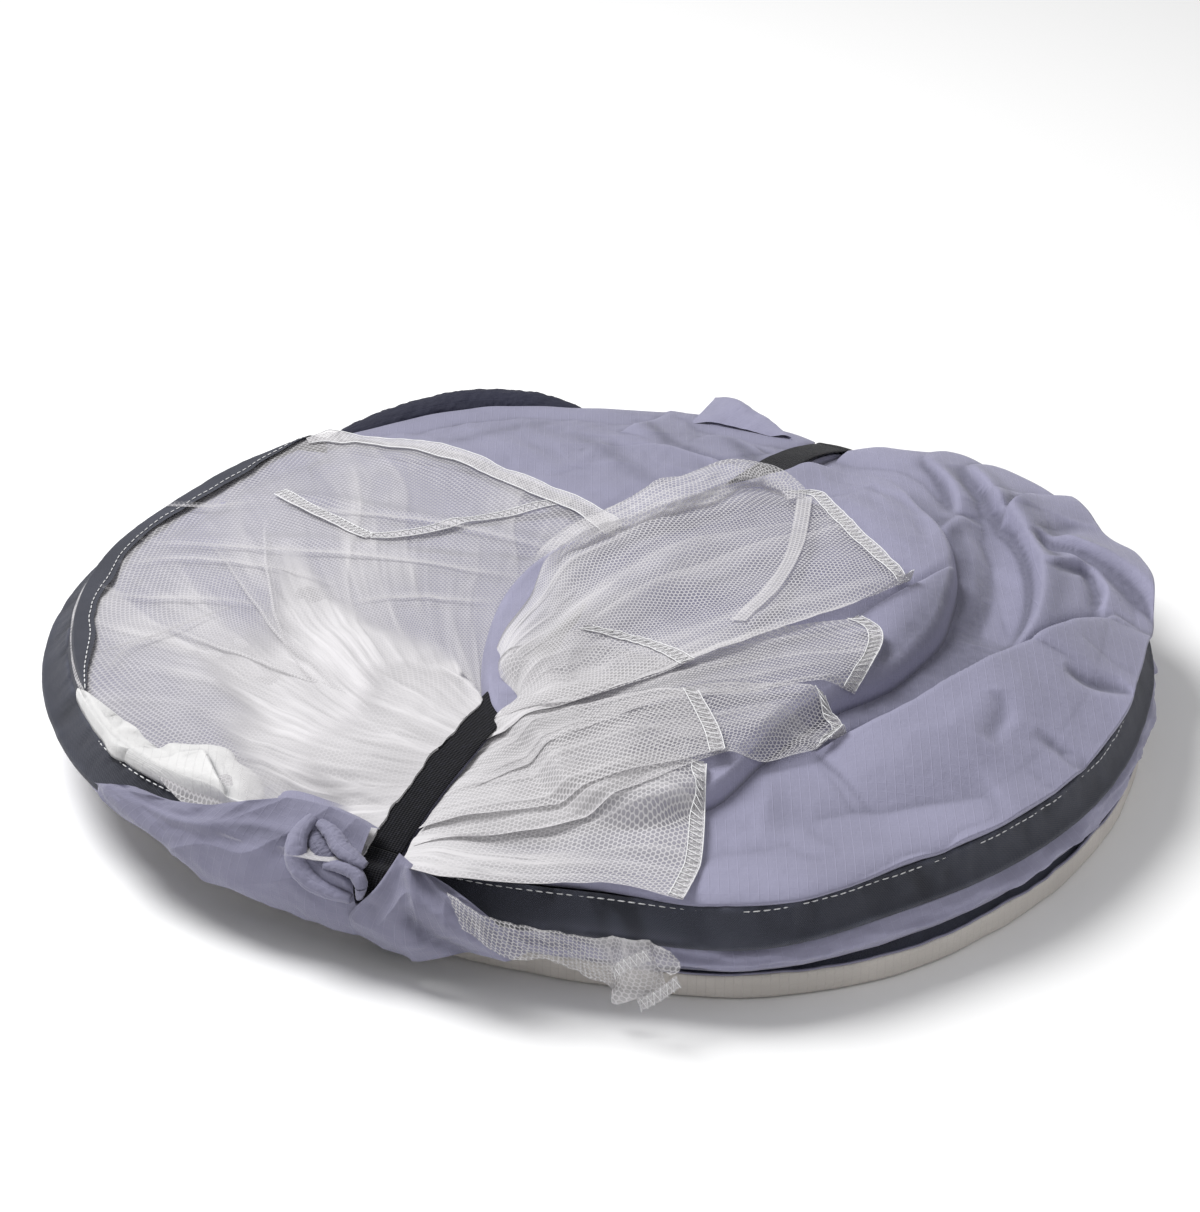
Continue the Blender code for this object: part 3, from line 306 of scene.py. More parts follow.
def lip_fold(x, y, points, height, front=0.003, back=0.030, gully=0.0):
    """Fold edge: steep on the line's right, high along its left and falling away from there."""
    gap, share = along_line(x, y, points)
    rise = smooth(-front, front * 0.6, gap) * np.exp(-(np.maximum(gap, 0) / back) ** 1.5)
    low = np.exp(-((gap + 1.6 * front) / (1.4 * front)) ** 2)
    return (height * rise - gully * low) * ends(share)


def ridge(x, y, points, height, left=0.008, right=0.008, power=2.0):
    """Soft crest, or a trough where the height is negative."""
    gap, share = along_line(x, y, points)
    reach = np.where(gap > 0, left, right)
    return height * np.exp(-(np.abs(gap) / reach) ** power) * ends(share)


# Heights of the cloth
def dome(x, y, puff):
    reach = np.hypot(x, y) / stitched_edge(np.arctan2(y, x))
    return RIM_HEIGHT + puff * (1 - np.minimum(reach, 1.0) ** 4)


def strap_surface(x, y):
    return dome(x, y, STRAP_ARCH) + STRAP_LIFT


def strap_side(x, y):
    """Distance in plan from the strap's middle line, positive on its right."""
    return x * math.sin(STRAP_ANGLE) - y * math.cos(STRAP_ANGLE) - STRAP_OFFSET


def lip_top():
    return RIM_HEIGHT + LIP_HEIGHT + LIP_ROUND


# Folds in millimetres: line, height, width of the steep front, fall behind it, gully before it
RIGHT_LIP_FOLDS = (
    # the lower lit panel rolls up out of the deep valley
    (((270, -4), (240, -38), (212, -66), (181, -97), (155, -121),
      (132, -136), (105, -152)), 15, 3.6, 40, 8),
    # the crest behind the valley
    (((214, 132), (229, 90), (235, 45), (228, -11), (210, -55)),
     11.5, 6, 36, 4),
    # the folds along the rim
    (((240, 85), (262, 60), (274, 36), (282, 12), (287, -14)),
     6.5, 3.2, 22, 3.5),
    (((241, 34), (262, 44), (267, 20), (262, -10)), 5.5, 3, 18, 2.5),
    (((205, 175), (218, 138), (224, 104)), 6.5, 3.8, 20, 3),
    (((256, 140), (240, 124), (218, 92)), 5.5, 3.2, 20, 2.5),
    (((176, 195), (196, 155), (200, 112)), 6, 3.8, 24, 2.5),
    (((205, 100), (210, 60), (204, 10), (190, -40)), -5, 8, 20, 0),
)
# Crests and troughs in millimetres: line, height, reach on its left and on its right
RIGHT_RIDGES = (
    (((115, -180), (165, -155), (215, -110), (258, -55)), 4.5, 22, 30),
    (((236, -77), (249, -80), (264, -74)), -3.4, 5, 5),
    (((197, -113), (199, -124), (190, -148)), -2.6, 6, 6),
    (((80, -200), (130, -205), (190, -175)), -3, 16, 16),
    (((90, -235), (150, -225), (215, -165)), 3, 12, 12),
    (((258, 105), (246, 75), (246, 40)), -5, 8, 8),
    (((185, 70), (191, 84), (204, 108)), 3.4, 5, 5),
    (((150, -190), (158, -215), (160, -238)), -1.8, 6, 6),
    (((215, -130), (232, -142), (244, -150)), -1.6, 5, 5),
)
OVER_LIP_FOLDS = (
    (((205, 50), (192, 22), (178, 3), (160, -18), (130, -50)),
     7, 3, 36, 3),
)
OVER_RIDGES = (
    (((35, -58), (105, 28), (122, 64)), -3.5, 14, 14),
    (((10, -165), (90, -70), (150, -20)), 3, 16, 16),
    (((130, 105), (150, 60), (155, 10)), 2.6, 12, 12),
    (((150, 125), (172, 90), (176, 40)), -2.2, 6, 6),
    (((-45, -120), (-46, -60), (-30, -5), (0, 40)), 3, 6, 10),
    (((-30, -90), (-20, -40), (5, 10)), -3, 8, 8),
)
BACK_LIP_FOLDS = (
    (((92, 130), (81, 151), (60, 166), (33, 181), (0, 187)),
     4.6, 2.6, 26, 1.6),
    (((40, 252), (30, 234), (12, 214)), 4.2, 2.4, 18, 1.4),
    (((95, 185), (80, 205), (60, 215)), 3.8, 2.4, 18, 1.4),
    (((-110, 232), (-70, 238), (-30, 262)), -2, 6, 18, 0),
)
BACK_RIDGES = (
    (((-14, 152), (-3, 180), (4, 205)), 1.6, 6, 6),
    (((-80, 215), (-50, 185), (-20, 145)), 1.8, 10, 10),
    (((-30, 225), (0, 200), (40, 150)), -1.6, 10, 10),
)
LEFT_RIDGES = (
    (((-207, 142), (-146, 113), (-107, 92), (-20, 55)), 2, 6, 6),
    (((-249, 86), (-124, 55), (-30, 24)), 1.8, 7, 7),
    (((-120, 50), (-90, 55), (-64, 45)), -2.2, 6, 6),
    (((-60, 50), (-35, 45), (-10, 50)), -1.8, 5, 5),
)

# Painted shade in the deep folds: line and width in millimetres, depth of the shade
RIGHT_SHADES = (
    (((268, -2), (236, -34), (208, -62), (177, -93), (151, -117), (128, -132),
      (101, -148)), 7.5, 1.2),
    (((170, 140), (184, 106), (198, 62), (199, 20), (192, -22), (180, -58),
      (152, -99), (116, -130)), 9.5, 1.1),
    (((224, 134), (239, 92), (245, 45), (238, -11), (221, -50)), 8, 0.8),
    (((246, 88), (268, 63), (279, 38), (286, 14)), 5, 0.6),
    (((216, 178), (228, 140), (236, 106)), 5, 0.5),
    (((190, 190), (205, 155), (209, 118)), 5, 0.5),
    (((204, -30), (185, -60), (165, -86), (146, -107), (125, -127)),
     13, 0.75),
    (((216, -36), (194, -70), (171, -98), (147, -118)), 8, 0.55),
    (((203, 128), (213, 92), (215, 55)), 7, 0.45),
)
OVER_SHADES = (
    (((192, 24), (184, -14), (167, -48), (147, -75), (126, -98), (100, -115)),
     10.5, 0.95),
    (((129, 158), (157, 149), (175, 123)), 5, 0.45),
)
BACK_SHADES = (
    (((20, 245), (30, 222), (41, 196), (56, 179), (84, 158)), 4.5, 0.75),
    (((-19, 215), (4, 177), (26, 132), (43, 119)), 6, 0.45),
    (((70, 216), (83, 185), (92, 150), (94, 130)), 6, 0.80),
    (((-100, 190), (-70, 205), (-30, 238)), 6, 0.35),
)


def shaded(points, lines, base=0.0):
    """Weights for a lobe: painted shade in the deep folds along the given lines, on top of an even painted
    shade as deep as the base.
    """
    weights = fold_weights(points)
    weights["painted_shade"] = weights["painted_shade"] + base
    for line, width, depth in lines:
        gap, share = along_line(points[..., 0], points[..., 1], mm(*line))
        dark = depth * np.exp(-(gap / mm(width)) ** 2) * ends(share, 0.4)
        weights["painted_shade"] = weights["painted_shade"] + dark
    weights["painted_shade"] = np.clip(weights["painted_shade"], 0, 1)
    return weights


def with_folds(x, y, rise, lips=(), ridges=()):
    for line, *shape in lips:
        rise = rise + lip_fold(x, y, mm(*line), *mm(*shape))
    for line, *shape in ridges:
        rise = rise + ridge(x, y, mm(*line), *mm(*shape))
    return rise


def crinkle(x, y, seed, amount):
    """Soft waves and small pinched creases of light cloth."""
    bend = 0.35 * noise(x * 18, y * 18, seed)
    wave = ripple(x * 28 + bend, y * 22 - bend, seed + 3) * 0.7
    pinch = creased(x * 46 + 2 * bend, y * 30 + bend, seed + 9) * 0.30
    return (wave + pinch) * amount


def right_cloth(x, y):
    folds = with_folds(x, y, 0 * x, RIGHT_LIP_FOLDS, RIGHT_RIDGES)
    return dome(x, y, 0.0185) + 1.30 * folds + crinkle(x, y, 11, 0.0011)


def over_cloth(x, y):
    near_strap = np.exp(-(np.maximum(np.abs(strap_side(x, y)) - 0.011, 0) / 0.016) ** 2)
    rise = dome(x, y, STRAP_ARCH) + 0.0042 * near_strap
    rise = with_folds(x, y, rise, OVER_LIP_FOLDS, OVER_RIDGES)
    return rise + 0.0048 * smooth(0.02, 0.09, strap_side(x, y)) + crinkle(x, y, 23, 0.0014)


def under_over(x, y):
    """What the folded panel lies on: the right lobe, and the strap and left lobe beside it."""
    return np.where(strap_side(x, y) > 0, right_cloth(x, y), left_cloth(x, y))


def back_cloth(x, y):
    rise = with_folds(x, y, dome(x, y, 0.0235), BACK_LIP_FOLDS, BACK_RIDGES)
    return rise + crinkle(x, y, 37, 0.0016)


def left_cloth(x, y):
    rise = with_folds(x, y, dome(x, y, 0.0200), (), LEFT_RIDGES)
    return rise + crinkle(x, y, 41, 0.0009)


# Meshes
def grid_piece(name, points, finish, wrap=False, uv=None, weights=None, pole=None):
    """Smooth sheet from a grid of points, with a UV map in metres and weights by point."""
    count_u, count_v = points.shape[:2]
    if uv is None:
        uv = arc_map(points, wrap)
    columns = count_u if wrap else count_u - 1
    u = np.arange(columns)[:, None]
    v = np.arange(count_v - 1)[None, :]

    def corners(after):
        base, beyond = u * count_v + v, after * count_v + v
        return np.stack([base, beyond, beyond + 1, base + 1], axis=-1).reshape(-1, 4)

    vertices = points.reshape(-1, 3)
    faces = corners((u + 1) % count_u).tolist()
    loop_uv = uv.reshape(-1, 2)[corners(u + 1).reshape(-1)]
    if pole is not None:
        tip = len(vertices)
        vertices = np.vstack([vertices, pole])
        ring = [k * count_v + count_v - 1 for k in range(count_u)]
        centre_uv = uv[:-1, -1].mean(axis=0) if wrap else uv[:, -1].mean(axis=0)
        extra = []
        for k in range(columns):
            faces.append((ring[k], ring[(k + 1) % count_u], tip))
            extra += [uv[k, -1], uv[k + 1, -1], centre_uv]
        loop_uv = np.vstack([loop_uv, extra])
    flat = {label: np.asarray(values, float).reshape(-1) for label, values in (weights or {}).items()}
    if pole is not None:
        flat = {label: np.append(values, values.mean()) for label, values in flat.items()}
    return mesh_piece(name, vertices, faces, finish, loop_uv, flat)


def arc_map(points, wrap):
    """Distances along both ways of a grid, one more column where it closes on itself."""
    grid = np.concatenate([points, points[:1]], axis=0) if wrap else points
    along_u = np.zeros(grid.shape[:2])
    along_v = np.zeros(grid.shape[:2])
    along_u[1:] = np.cumsum(np.linalg.norm(np.diff(grid, axis=0), axis=2), axis=0).mean(
        axis=1, keepdims=True)
    along_v[:, 1:] = np.cumsum(np.linalg.norm(np.diff(grid, axis=1), axis=2), axis=1)
    return np.stack([along_u, along_v], axis=-1)


def mesh_piece(name, vertices, faces, finish, loop_uv=None, weights=None):
    """Smooth mesh with a UV place for each corner of a face and weights for each point."""
    mesh = bpy.data.meshes.new(name)
    mesh.from_pydata(np.asarray(vertices).tolist(), [], faces)
    if loop_uv is not None:
        layer = mesh.uv_layers.new(name="UVMap")
        layer.data.foreach_set("uv", np.asarray(loop_uv, float).reshape(-1))
    for label, values in (weights or {}).items():
        mesh.attributes.new(label, "FLOAT", "POINT").data.foreach_set("value", values)
    mesh.polygons.foreach_set("use_smooth", np.ones(len(mesh.polygons), bool))
    mesh.update()
    piece = bpy.data.objects.new(name, mesh)
    bpy.context.scene.collection.objects.link(piece)
    mesh.materials.append(look_of(finish))
    return piece


def tube_points(path, radii, sides=14, flat=1.0, up=(0, 0, 1)):
    """Rings round a path; flat squeezes them along the up direction."""
    path = np.asarray(path, float)
    run = np.gradient(path, axis=0)
    run /= np.linalg.norm(run, axis=1, keepdims=True)
    across = np.cross(run, np.asarray(up, float))
    across /= np.linalg.norm(across, axis=1, keepdims=True)
    lift = np.cross(across, run)
    turn = np.linspace(0, FULL_TURN, sides, endpoint=False)
    radii = np.asarray(radii, float)[:, None, None]
    ring = (across[:, None, :] * np.cos(turn)[None, :, None]
            + lift[:, None, :] * np.sin(turn)[None, :, None] * flat)
    return path[:, None, :] + ring * radii


def closed_tube(name, path, radii, finish, sides=14, flat=1.0, wobble=0.0, seed=0, weights=None):
    """Rolled cloth or thread: a tube along a path, closed at both ends."""
    rings = tube_points(path, radii, sides, flat)
    if wobble:
        steps = np.arange(len(rings))[:, None]
        turns = np.arange(sides)[None, :]
        folds = np.sin(turns * 3 * FULL_TURN / sides + noise(steps * 0.13, 0 * turns, seed) * 3)
        swell = folds * 0.6 + ripple(steps * 0.22, turns * 0.5, seed + 5)
        centre = rings.mean(axis=1, keepdims=True)
        rings = centre + (rings - centre) * (1 + wobble * swell)[:, :, None]
    count = len(rings)
    vertices = np.vstack([rings.reshape(-1, 3), rings[0].mean(axis=0), rings[-1].mean(axis=0)])
    along, step = distances(path), FULL_TURN * float(np.mean(radii)) / sides
    faces, loop_uv = [], []
    for k in range(count - 1):
        low, top = along[k:k + 2]
        for s in range(sides):
            after, base = (s + 1) % sides, k * sides
            faces.append((base + s, base + after, base + sides + after, base + sides + s))
            loop_uv += [(s * step, low), ((s + 1) * step, low), ((s + 1) * step, top), (s * step, top)]
    first, last = count * sides, (count - 1) * sides
    for s in range(sides):
        after = (s + 1) % sides
        faces += [(first, after, s), (first + 1, last + s, last + after)]
        loop_uv += [(0, 0), (step, 0), (0, step)] * 2
    weights = {label: np.full(len(vertices), float(value)) for label, value in (weights or {}).items()}
    return mesh_piece(name, vertices, faces, finish, loop_uv, weights)


def flat_size(points, wrap=False):
    """Size that the sheet was cut to: the longest way along it and across it."""
    grid = np.concatenate([points, points[:1]], axis=0) if wrap else points
    long_u = np.linalg.norm(np.diff(grid, axis=0), axis=2).sum(axis=0).max()
    long_v = np.linalg.norm(np.diff(grid, axis=1), axis=2).sum(axis=1).max()
    return float(long_u), float(long_v)


def surface_area(piece):
    return sum(face.area for face in piece.data.polygons)


def cut_sheet(piece, flat, layers=1):
    """Works out the cut area of a sheet from its flat size and the modelled cloth's area; the result is not
    used.
    """
    area = surface_area(piece) / layers
    width, length = (max(size, NARROWEST_SHEET) for size in flat)
    full = width * length
    min(max(area, 0.301 * full), full)


# Shader expressions
class Expression:
    """A socket of a material, so that shader maths reads as plain sums."""

    def __init__(self, finish, socket):
        self.finish = finish
        self.socket = socket

    def _math(self, operation, *others, clamp=False):
        node = self.finish.tree.nodes.new("ShaderNodeMath")
        node.operation = operation
        node.use_clamp = clamp
        for socket, value in zip(node.inputs, (self, *others)):
            self.finish.feed(socket, value)
        return Expression(self.finish, node.outputs[0])

    def __add__(self, other):
        return self._math("ADD", other)

    __radd__ = __add__

    def __sub__(self, other):
        return self._math("SUBTRACT", other)

    def __rsub__(self, other):
        return (self * -1.0) + other

    def __mul__(self, other):
        return self._math("MULTIPLY", other)

    __rmul__ = __mul__

    def __truediv__(self, other):
        return self._math("DIVIDE", other)

    def wrapped(self, size):
        return self._math("FLOORED_MODULO", size)

    def size(self):
        return self._math("ABSOLUTE")

    def sine(self):
        return self._math("SINE")

    def at_least(self, other):
        return self._math("MAXIMUM", other)

    def under(self, other):
        return self._math("LESS_THAN", other)

    def clamped(self):
        return self._math("ADD", 0.0, clamp=True)

    def between(self, low, high):
        """Smooth step from 0 at low to 1 at high."""
        node = self.finish.node("ShaderNodeMapRange", {"interpolation_type": "SMOOTHSTEP"},
                                {"Value": self, "From Min": low, "From Max": high})
        return Expression(self.finish, node.outputs["Result"])


class Finish:
    """A node material with one Principled shader."""

    def __init__(self, name, roughness, **constants):
        self.material = bpy.data.materials.new(name)
        self.material.use_nodes = True
        self.tree = self.material.node_tree
        self.shader = self.tree.nodes["Principled BSDF"]
        self.shader.inputs["Roughness"].default_value = roughness
        for label, value in constants.items():
            self.shader.inputs[label.replace("_", " ")].default_value = value

    def feed(self, socket, value):
        if isinstance(value, Expression):
            self.tree.links.new(value.socket, socket)
        elif isinstance(value, bpy.types.NodeSocket):
            self.tree.links.new(value, socket)
        else:
            socket.default_value = value

    def node(self, kind, settings=None, inputs=None):
        """Any node: its type, its settings, which are set first, then its sockets."""
        node = self.tree.nodes.new(kind)
        for label, value in (settings or {}).items():
            setattr(node, label, value)
        for label, value in (inputs or {}).items():
            self.feed(node.inputs[label], value)
        return node

    def uv(self):
        split = self.node("ShaderNodeSeparateXYZ", None, {"Vector": self.surface()})
        return Expression(self, split.outputs["X"]), Expression(self, split.outputs["Y"])

    def surface(self):
        return self.node("ShaderNodeUVMap", {"uv_map": "UVMap"}).outputs["UV"]

    def place(self):
        return self.node("ShaderNodeTexCoord").outputs["Object"]

    def noise(self, scale, detail=3.0, vector=None, roughness=0.55):
        node = self.node("ShaderNodeTexNoise", None, {
            "Vector": vector or self.place(), "Scale": scale, "Detail": detail,
            "Roughness": roughness})
        return Expression(self, node.outputs["Fac"])

    def stretched(self, along, across, vector=None):
        """Surface place scaled differently both ways, for streaks."""
        node = self.node("ShaderNodeMapping", None, {"Vector": vector or self.surface()})
        node.inputs["Scale"].default_value = (along, across, 1.0)
        return node.outputs["Vector"]

    def weight(self, label):
        node = self.node("ShaderNodeAttribute", {"attribute_name": label})
        return Expression(self, node.outputs["Fac"])

    def mix(self, factor, first, second, blend="MIX"):
        node = self.tree.nodes.new("ShaderNodeMix")
        node.data_type = "RGBA"
        node.blend_type = blend
        self.feed(node.inputs[0], factor)
        self.feed(node.inputs[6], first)
        self.feed(node.inputs[7], second)
        return node.outputs[2]

    def colour(self, value):
        self.feed(self.shader.inputs["Base Color"], value)

    def bump(self, height, strength, distance):
        node = self.node("ShaderNodeBump", None, {
            "Height": height, "Strength": strength, "Distance": distance})
        self.feed(self.shader.inputs["Normal"], node.outputs["Normal"])


def tint(colour, factor=1.0, shift=(1.0, 1.0, 1.0)):
    return tuple(min(1.0, c * factor * s) for c, s in zip(colour, shift)) + (1.0,)


def ripstop(name, colour, roughness=0.58, sheen=0.25, line_light=1.22):
    """Light ripstop cloth: fine weave, a square of thicker yarns, worn and creased, with painted shade in
    its dips and folds and painted highlight on its crests.
    """
    look = Finish(name, roughness, Sheen_Weight=sheen, Sheen_Roughness=0.45, Specular_IOR_Level=0.35)
    u, v = look.uv()
    pitch = sizes().ripstop_pitch
    line_u = ((u / pitch).wrapped(1.0) - 0.5).size().between(0.43, 0.49)
    line_v = ((v / pitch).wrapped(1.0) - 0.5).size().between(0.43, 0.49)
    grid = line_u.at_least(line_v * 0.4)
    weave = (u * (FULL_TURN / 0.00062)).sine() * (v * (FULL_TURN / 0.00062)).sine()
    soft = look.noise(14.0, 3.0)
    fine = look.noise(220.0, 4.0)
    crease = look.noise(55.0, 5.0, roughness=0.65)
    shade = look.mix(soft.between(0.30, 0.72), tint(colour, 0.90), tint(colour, 1.08))
    shade = look.mix(grid * 0.55, shade, tint(colour, line_light))
    # Painted shade: dips and deep folds darken towards a dim, bluer copy of the colour.
    shade = look.mix(look.weight("painted_shade") * 0.78, shade, tint(colour, 0.36, (0.96, 0.98, 1.04)))
    # Painted highlight: crests lighten towards a brighter copy of the colour.
    shade = look.mix(look.weight("crest") * 0.35, shade, tint(colour, 1.35))
    look.colour(look.mix(fine.between(0.35, 0.75) * 0.25, shade, tint(colour, 0.92)))
    look.feed(look.shader.inputs["Roughness"], soft * 0.16 + roughness - 0.08)
    look.bump(grid * 0.35 + weave * 0.12 + fine * 0.55 + crease * 1.6, 0.55, 0.0009)
    return look.material


def tape_finish(name, colour):
    """Woven tape: a close twill with worn, paler edges, and painted shade in its puckers."""
    look = Finish(name, 0.78, Sheen_Weight=0.15, Sheen_Roughness=0.5, Specular_IOR_Level=0.25)
    u, v = look.uv()
    twill = ((u + v) * (FULL_TURN / 0.0011)).sine()
    rib = (u * (FULL_TURN / 0.0008)).sine()
    worn = look.noise(90.0, 4.0)
    soft = look.noise(12.0, 3.0)
    shade = look.mix(soft.between(0.3, 0.7), tint(colour, 0.82), tint(colour, 1.18))
    shade = look.mix(twill.between(0.0, 1.0) * 0.30, shade, tint(colour, 1.35))
    shade = look.mix(look.weight("crest") * worn.between(0.35, 0.65), shade, tint(colour, 1.9))
    # Painted shade in the puckers of the tape.
    look.colour(look.mix(look.weight("painted_shade") * 0.6, shade, tint(colour, 0.4)))
    look.bump(twill * 0.35 + rib * 0.2 + worn * 0.8, 0.6, 0.0007)
    return look.material


def elastic_finish(name, colour):
    """Woven elastic: ribs across, fine cords along."""
    look = Finish(name, 0.85, Sheen_Weight=0.12, Sheen_Roughness=0.4, Specular_IOR_Level=0.2)
    u, v = look.uv()
    cords = (u * (FULL_TURN / 0.0016)).sine()
    ribs = (v * (FULL_TURN / 0.0011)).sine()
    fuzz = look.noise(420.0, 4.0)
    shade = look.mix(fuzz.between(0.45, 0.8), tint(colour, 0.8), tint(colour, 2.6))
    look.colour(look.mix(cords.between(0.2, 1.0) * 0.4, shade, tint(colour, 1.9)))
    look.bump(cords * 0.6 + ribs * 0.5 + fuzz * 0.5, 0.7, 0.0006)
    return look.material


def thread_finish(name, colour):
    look = Finish(name, 0.6, Sheen_Weight=0.3, Specular_IOR_Level=0.3)
    twist = look.noise(900.0, 2.0)
    look.colour(look.mix(twist.between(0.3, 0.7), tint(colour, 0.82), tint(colour, 1.04)))
    look.bump(twist, 0.4, 0.0003)
    return look.material


def net_finish(name, colour):
    """Hexagonal net: threads over holes, closing up where many layers lie together."""
    look = Finish(name, 0.62, Sheen_Weight=0.4, Sheen_Roughness=0.5, Specular_IOR_Level=0.3)
    u, v = look.uv()
    pitch, tall = sizes().net_pitch, sizes().net_pitch * math.sqrt(3)

    def cell(offset):
        across = (u + offset * pitch).wrapped(pitch) - pitch / 2
        up = (v + offset * tall).wrapped(tall) - tall / 2
        return across, up

    ax, ay = cell(0.0)
    bx, by = cell(0.5)
    nearer = (ax * ax + ay * ay).under(bx * bx + by * by)
    gx = (ax * nearer + bx * (1 - nearer)).size()
    gy = (ay * nearer + by * (1 - nearer)).size()
    edge = 0.5 - (gx * 0.5 + gy * 0.8660254).at_least(gx) / pitch
    half = sizes().net_thread
    soft = look.weight("soft")
    thread = (1 - edge.between(half * 0.55, half * 1.35)) * (1 - soft) + soft * 0.40
    dense = look.weight("dense")
    streak = look.noise(1.0, 3.0, look.stretched(260.0, 16.0))
    wide = look.noise(1.0, 2.0, look.stretched(70.0, 7.0))
    cover = (dense + (streak - 0.5) * 0.55 * dense + (wide - 0.5) * 0.35 * dense).clamped()
    hole = (1 - thread * 0.92) * (1 - cover)
    alpha = ((1 - hole) * look.weight("present")).clamped()
    shade = look.mix(cover, tint(colour, 0.96), tint(colour, 1.03))
    look.colour(look.mix(streak.between(0.30, 0.60), tint(colour, 0.90), shade))
    look.feed(look.shader.inputs["Alpha"], alpha)
    look.bump(thread * (1 - cover) * 0.3 + streak * 1.1, 0.4, 0.0007)
    return look.material


def steel_finish(name, colour):
    look = Finish(name, 0.34, Metallic=1.0)
    scratch = look.noise(1.0, 4.0, look.stretched(900.0, 30.0, look.place()))
    look.colour(look.mix(scratch, tint(colour, 0.8), tint(colour, 1.15)))
    look.feed(look.shader.inputs["Roughness"], scratch * 0.2 + 0.24)
    look.bump(scratch, 0.15, 0.0002)
    return look.material


LOOKS = {}


def look_of(name):
    """Each finish is made once, when the first piece asks for it."""
    if name not in LOOKS:
        shades = colours()
        makers = {
            "wall_cloth": lambda: ripstop(name, shades.cloth),
            # The roll: blue grey cloth painted with a dark colour that stands for its shade.
            "roll_cloth": lambda: ripstop(name, shades.shaded_roll, 0.7, 0.06, 1.3),
            "ground_cloth": lambda: ripstop(name, shades.cream, 0.72, 0.15, 0.86),
            "lining_cloth": lambda: ripstop(name, shades.lining, 0.7, 0.2, 0.94),
            "wire_tape": lambda: tape_finish(name, shades.tape),
            # The middle and lower tapes: the same tape brightened with painted light, to make up for the
            # shade they lie in.
            "painted_light_tape": lambda: tape_finish(name, tint(shades.tape, 2.6)),
            "strap_elastic": lambda: elastic_finish(name, shades.elastic),
            "sewing_thread": lambda: thread_finish(name, shades.thread),
            "white_net": lambda: net_finish(name, shades.net),
            "spring_wire": lambda: steel_finish(name, shades.steel),
        }
        LOOKS[name] = makers[name]()
    return LOOKS[name]


# Outlines
def panel_edge(angle):
    return stitched_edge(angle) - SLEEVE_RADIUS


def rim_run(first, last, count=240):
    angle = np.radians(np.linspace(first, last, count))
    return polar(panel_edge(angle), angle, 0)[:, :2]


def strap_plan(along, side):
    forward = np.array([math.cos(STRAP_ANGLE), math.sin(STRAP_ANGLE)])
    across = np.array([math.sin(STRAP_ANGLE), -math.cos(STRAP_ANGLE)])
    along, side = np.broadcast_arrays(np.asarray(along, float), np.asarray(side, float))
    return along[..., None] * forward + (STRAP_OFFSET + side)[..., None] * across


def crossing(radius_of, side, end):
    """How far along the strap's line a rim lies, at one side place, front (-1) or back (1)."""
    along = np.linspace(0.15, 0.33, 3601)
    place = strap_plan(end * along, side)
    outside = np.hypot(place[:, 0], place[:, 1]) > radius_of(np.arctan2(place[:, 1], place[:, 0]))
    return end * along[np.argmax(outside)]


def widest_crossing(radius_of, end):
    sides = (-STRAP_SIDE, 0, STRAP_SIDE)
    return end * max(abs(crossing(radius_of, side, end)) for side in sides)


SEAM_LINE = mm((-162.4, 207.4), (-109.9, 171.1), (-64.1, 145), (-24.1, 110.2), (17.4, 62.4))
OVER_OUTLINE = mm(
    (145, 151), (122, 160), (104, 140), (80, 122), (50, 102), (20, 76), (-10, 58), (-32, 36),
    (-52, -10), (-60, -60), (-60, -105), (-54, -136), (-36, -160), (-20, -200), (17, -215),
    (54, -200), (81, -162), (112, -124), (146, -94), (173, -54), (184, -20), (191, 20), (190, 62),
    (176, 106), (165, 140))


def beside(start, end, side, count):
    return strap_plan(np.linspace(start, end, count), side)


def right_outline():
    edge = beside(crossing(panel_edge, STRAP_SIDE, 1), crossing(panel_edge, STRAP_SIDE, -1), STRAP_SIDE, 120)
    return np.vstack([rim_run(252, 412), edge[1:-1]])


def left_outline():
    edge = beside(crossing(panel_edge, -STRAP_SIDE, -1), SEAM_END, -STRAP_SIDE, 80)
    return np.vstack([rim_run(130, 236), edge[1:], even_curve(SEAM_LINE, 60)[::-1][1:-1]])


def back_outline():
    edge = beside(SEAM_END, crossing(panel_edge, -STRAP_SIDE, 1), -STRAP_SIDE, 60)
    return np.vstack([rim_run(70, 126), even_curve(SEAM_LINE, 60)[1:], edge[:-1]])


def fold_weights(points, reach=3):
    """Painted shade for the cloth's dips and painted highlight for its crests, from its height round about.
    """
    height = points[..., 2]
    spread = height.copy()
    for _step in range(reach * 3):
        padded = np.pad(spread, 1, mode="edge")
        spread = (padded[:-2, 1:-1] + padded[2:, 1:-1] + padded[1:-1, :-2] + padded[1:-1, 2:]) / 4
    bulge = (height - spread) / 0.0009
    return {"painted_shade": np.clip(-bulge, 0, 1), "crest": np.clip(bulge, 0, 1)}


# The same painted shade and painted highlight at every point of a piece.
def flat_weights(points, painted_shade=0.0, crest=0.0):
    return {"painted_shade": np.full(points.shape[:2], painted_shade), "crest": np.full(points.shape[:2], crest)}


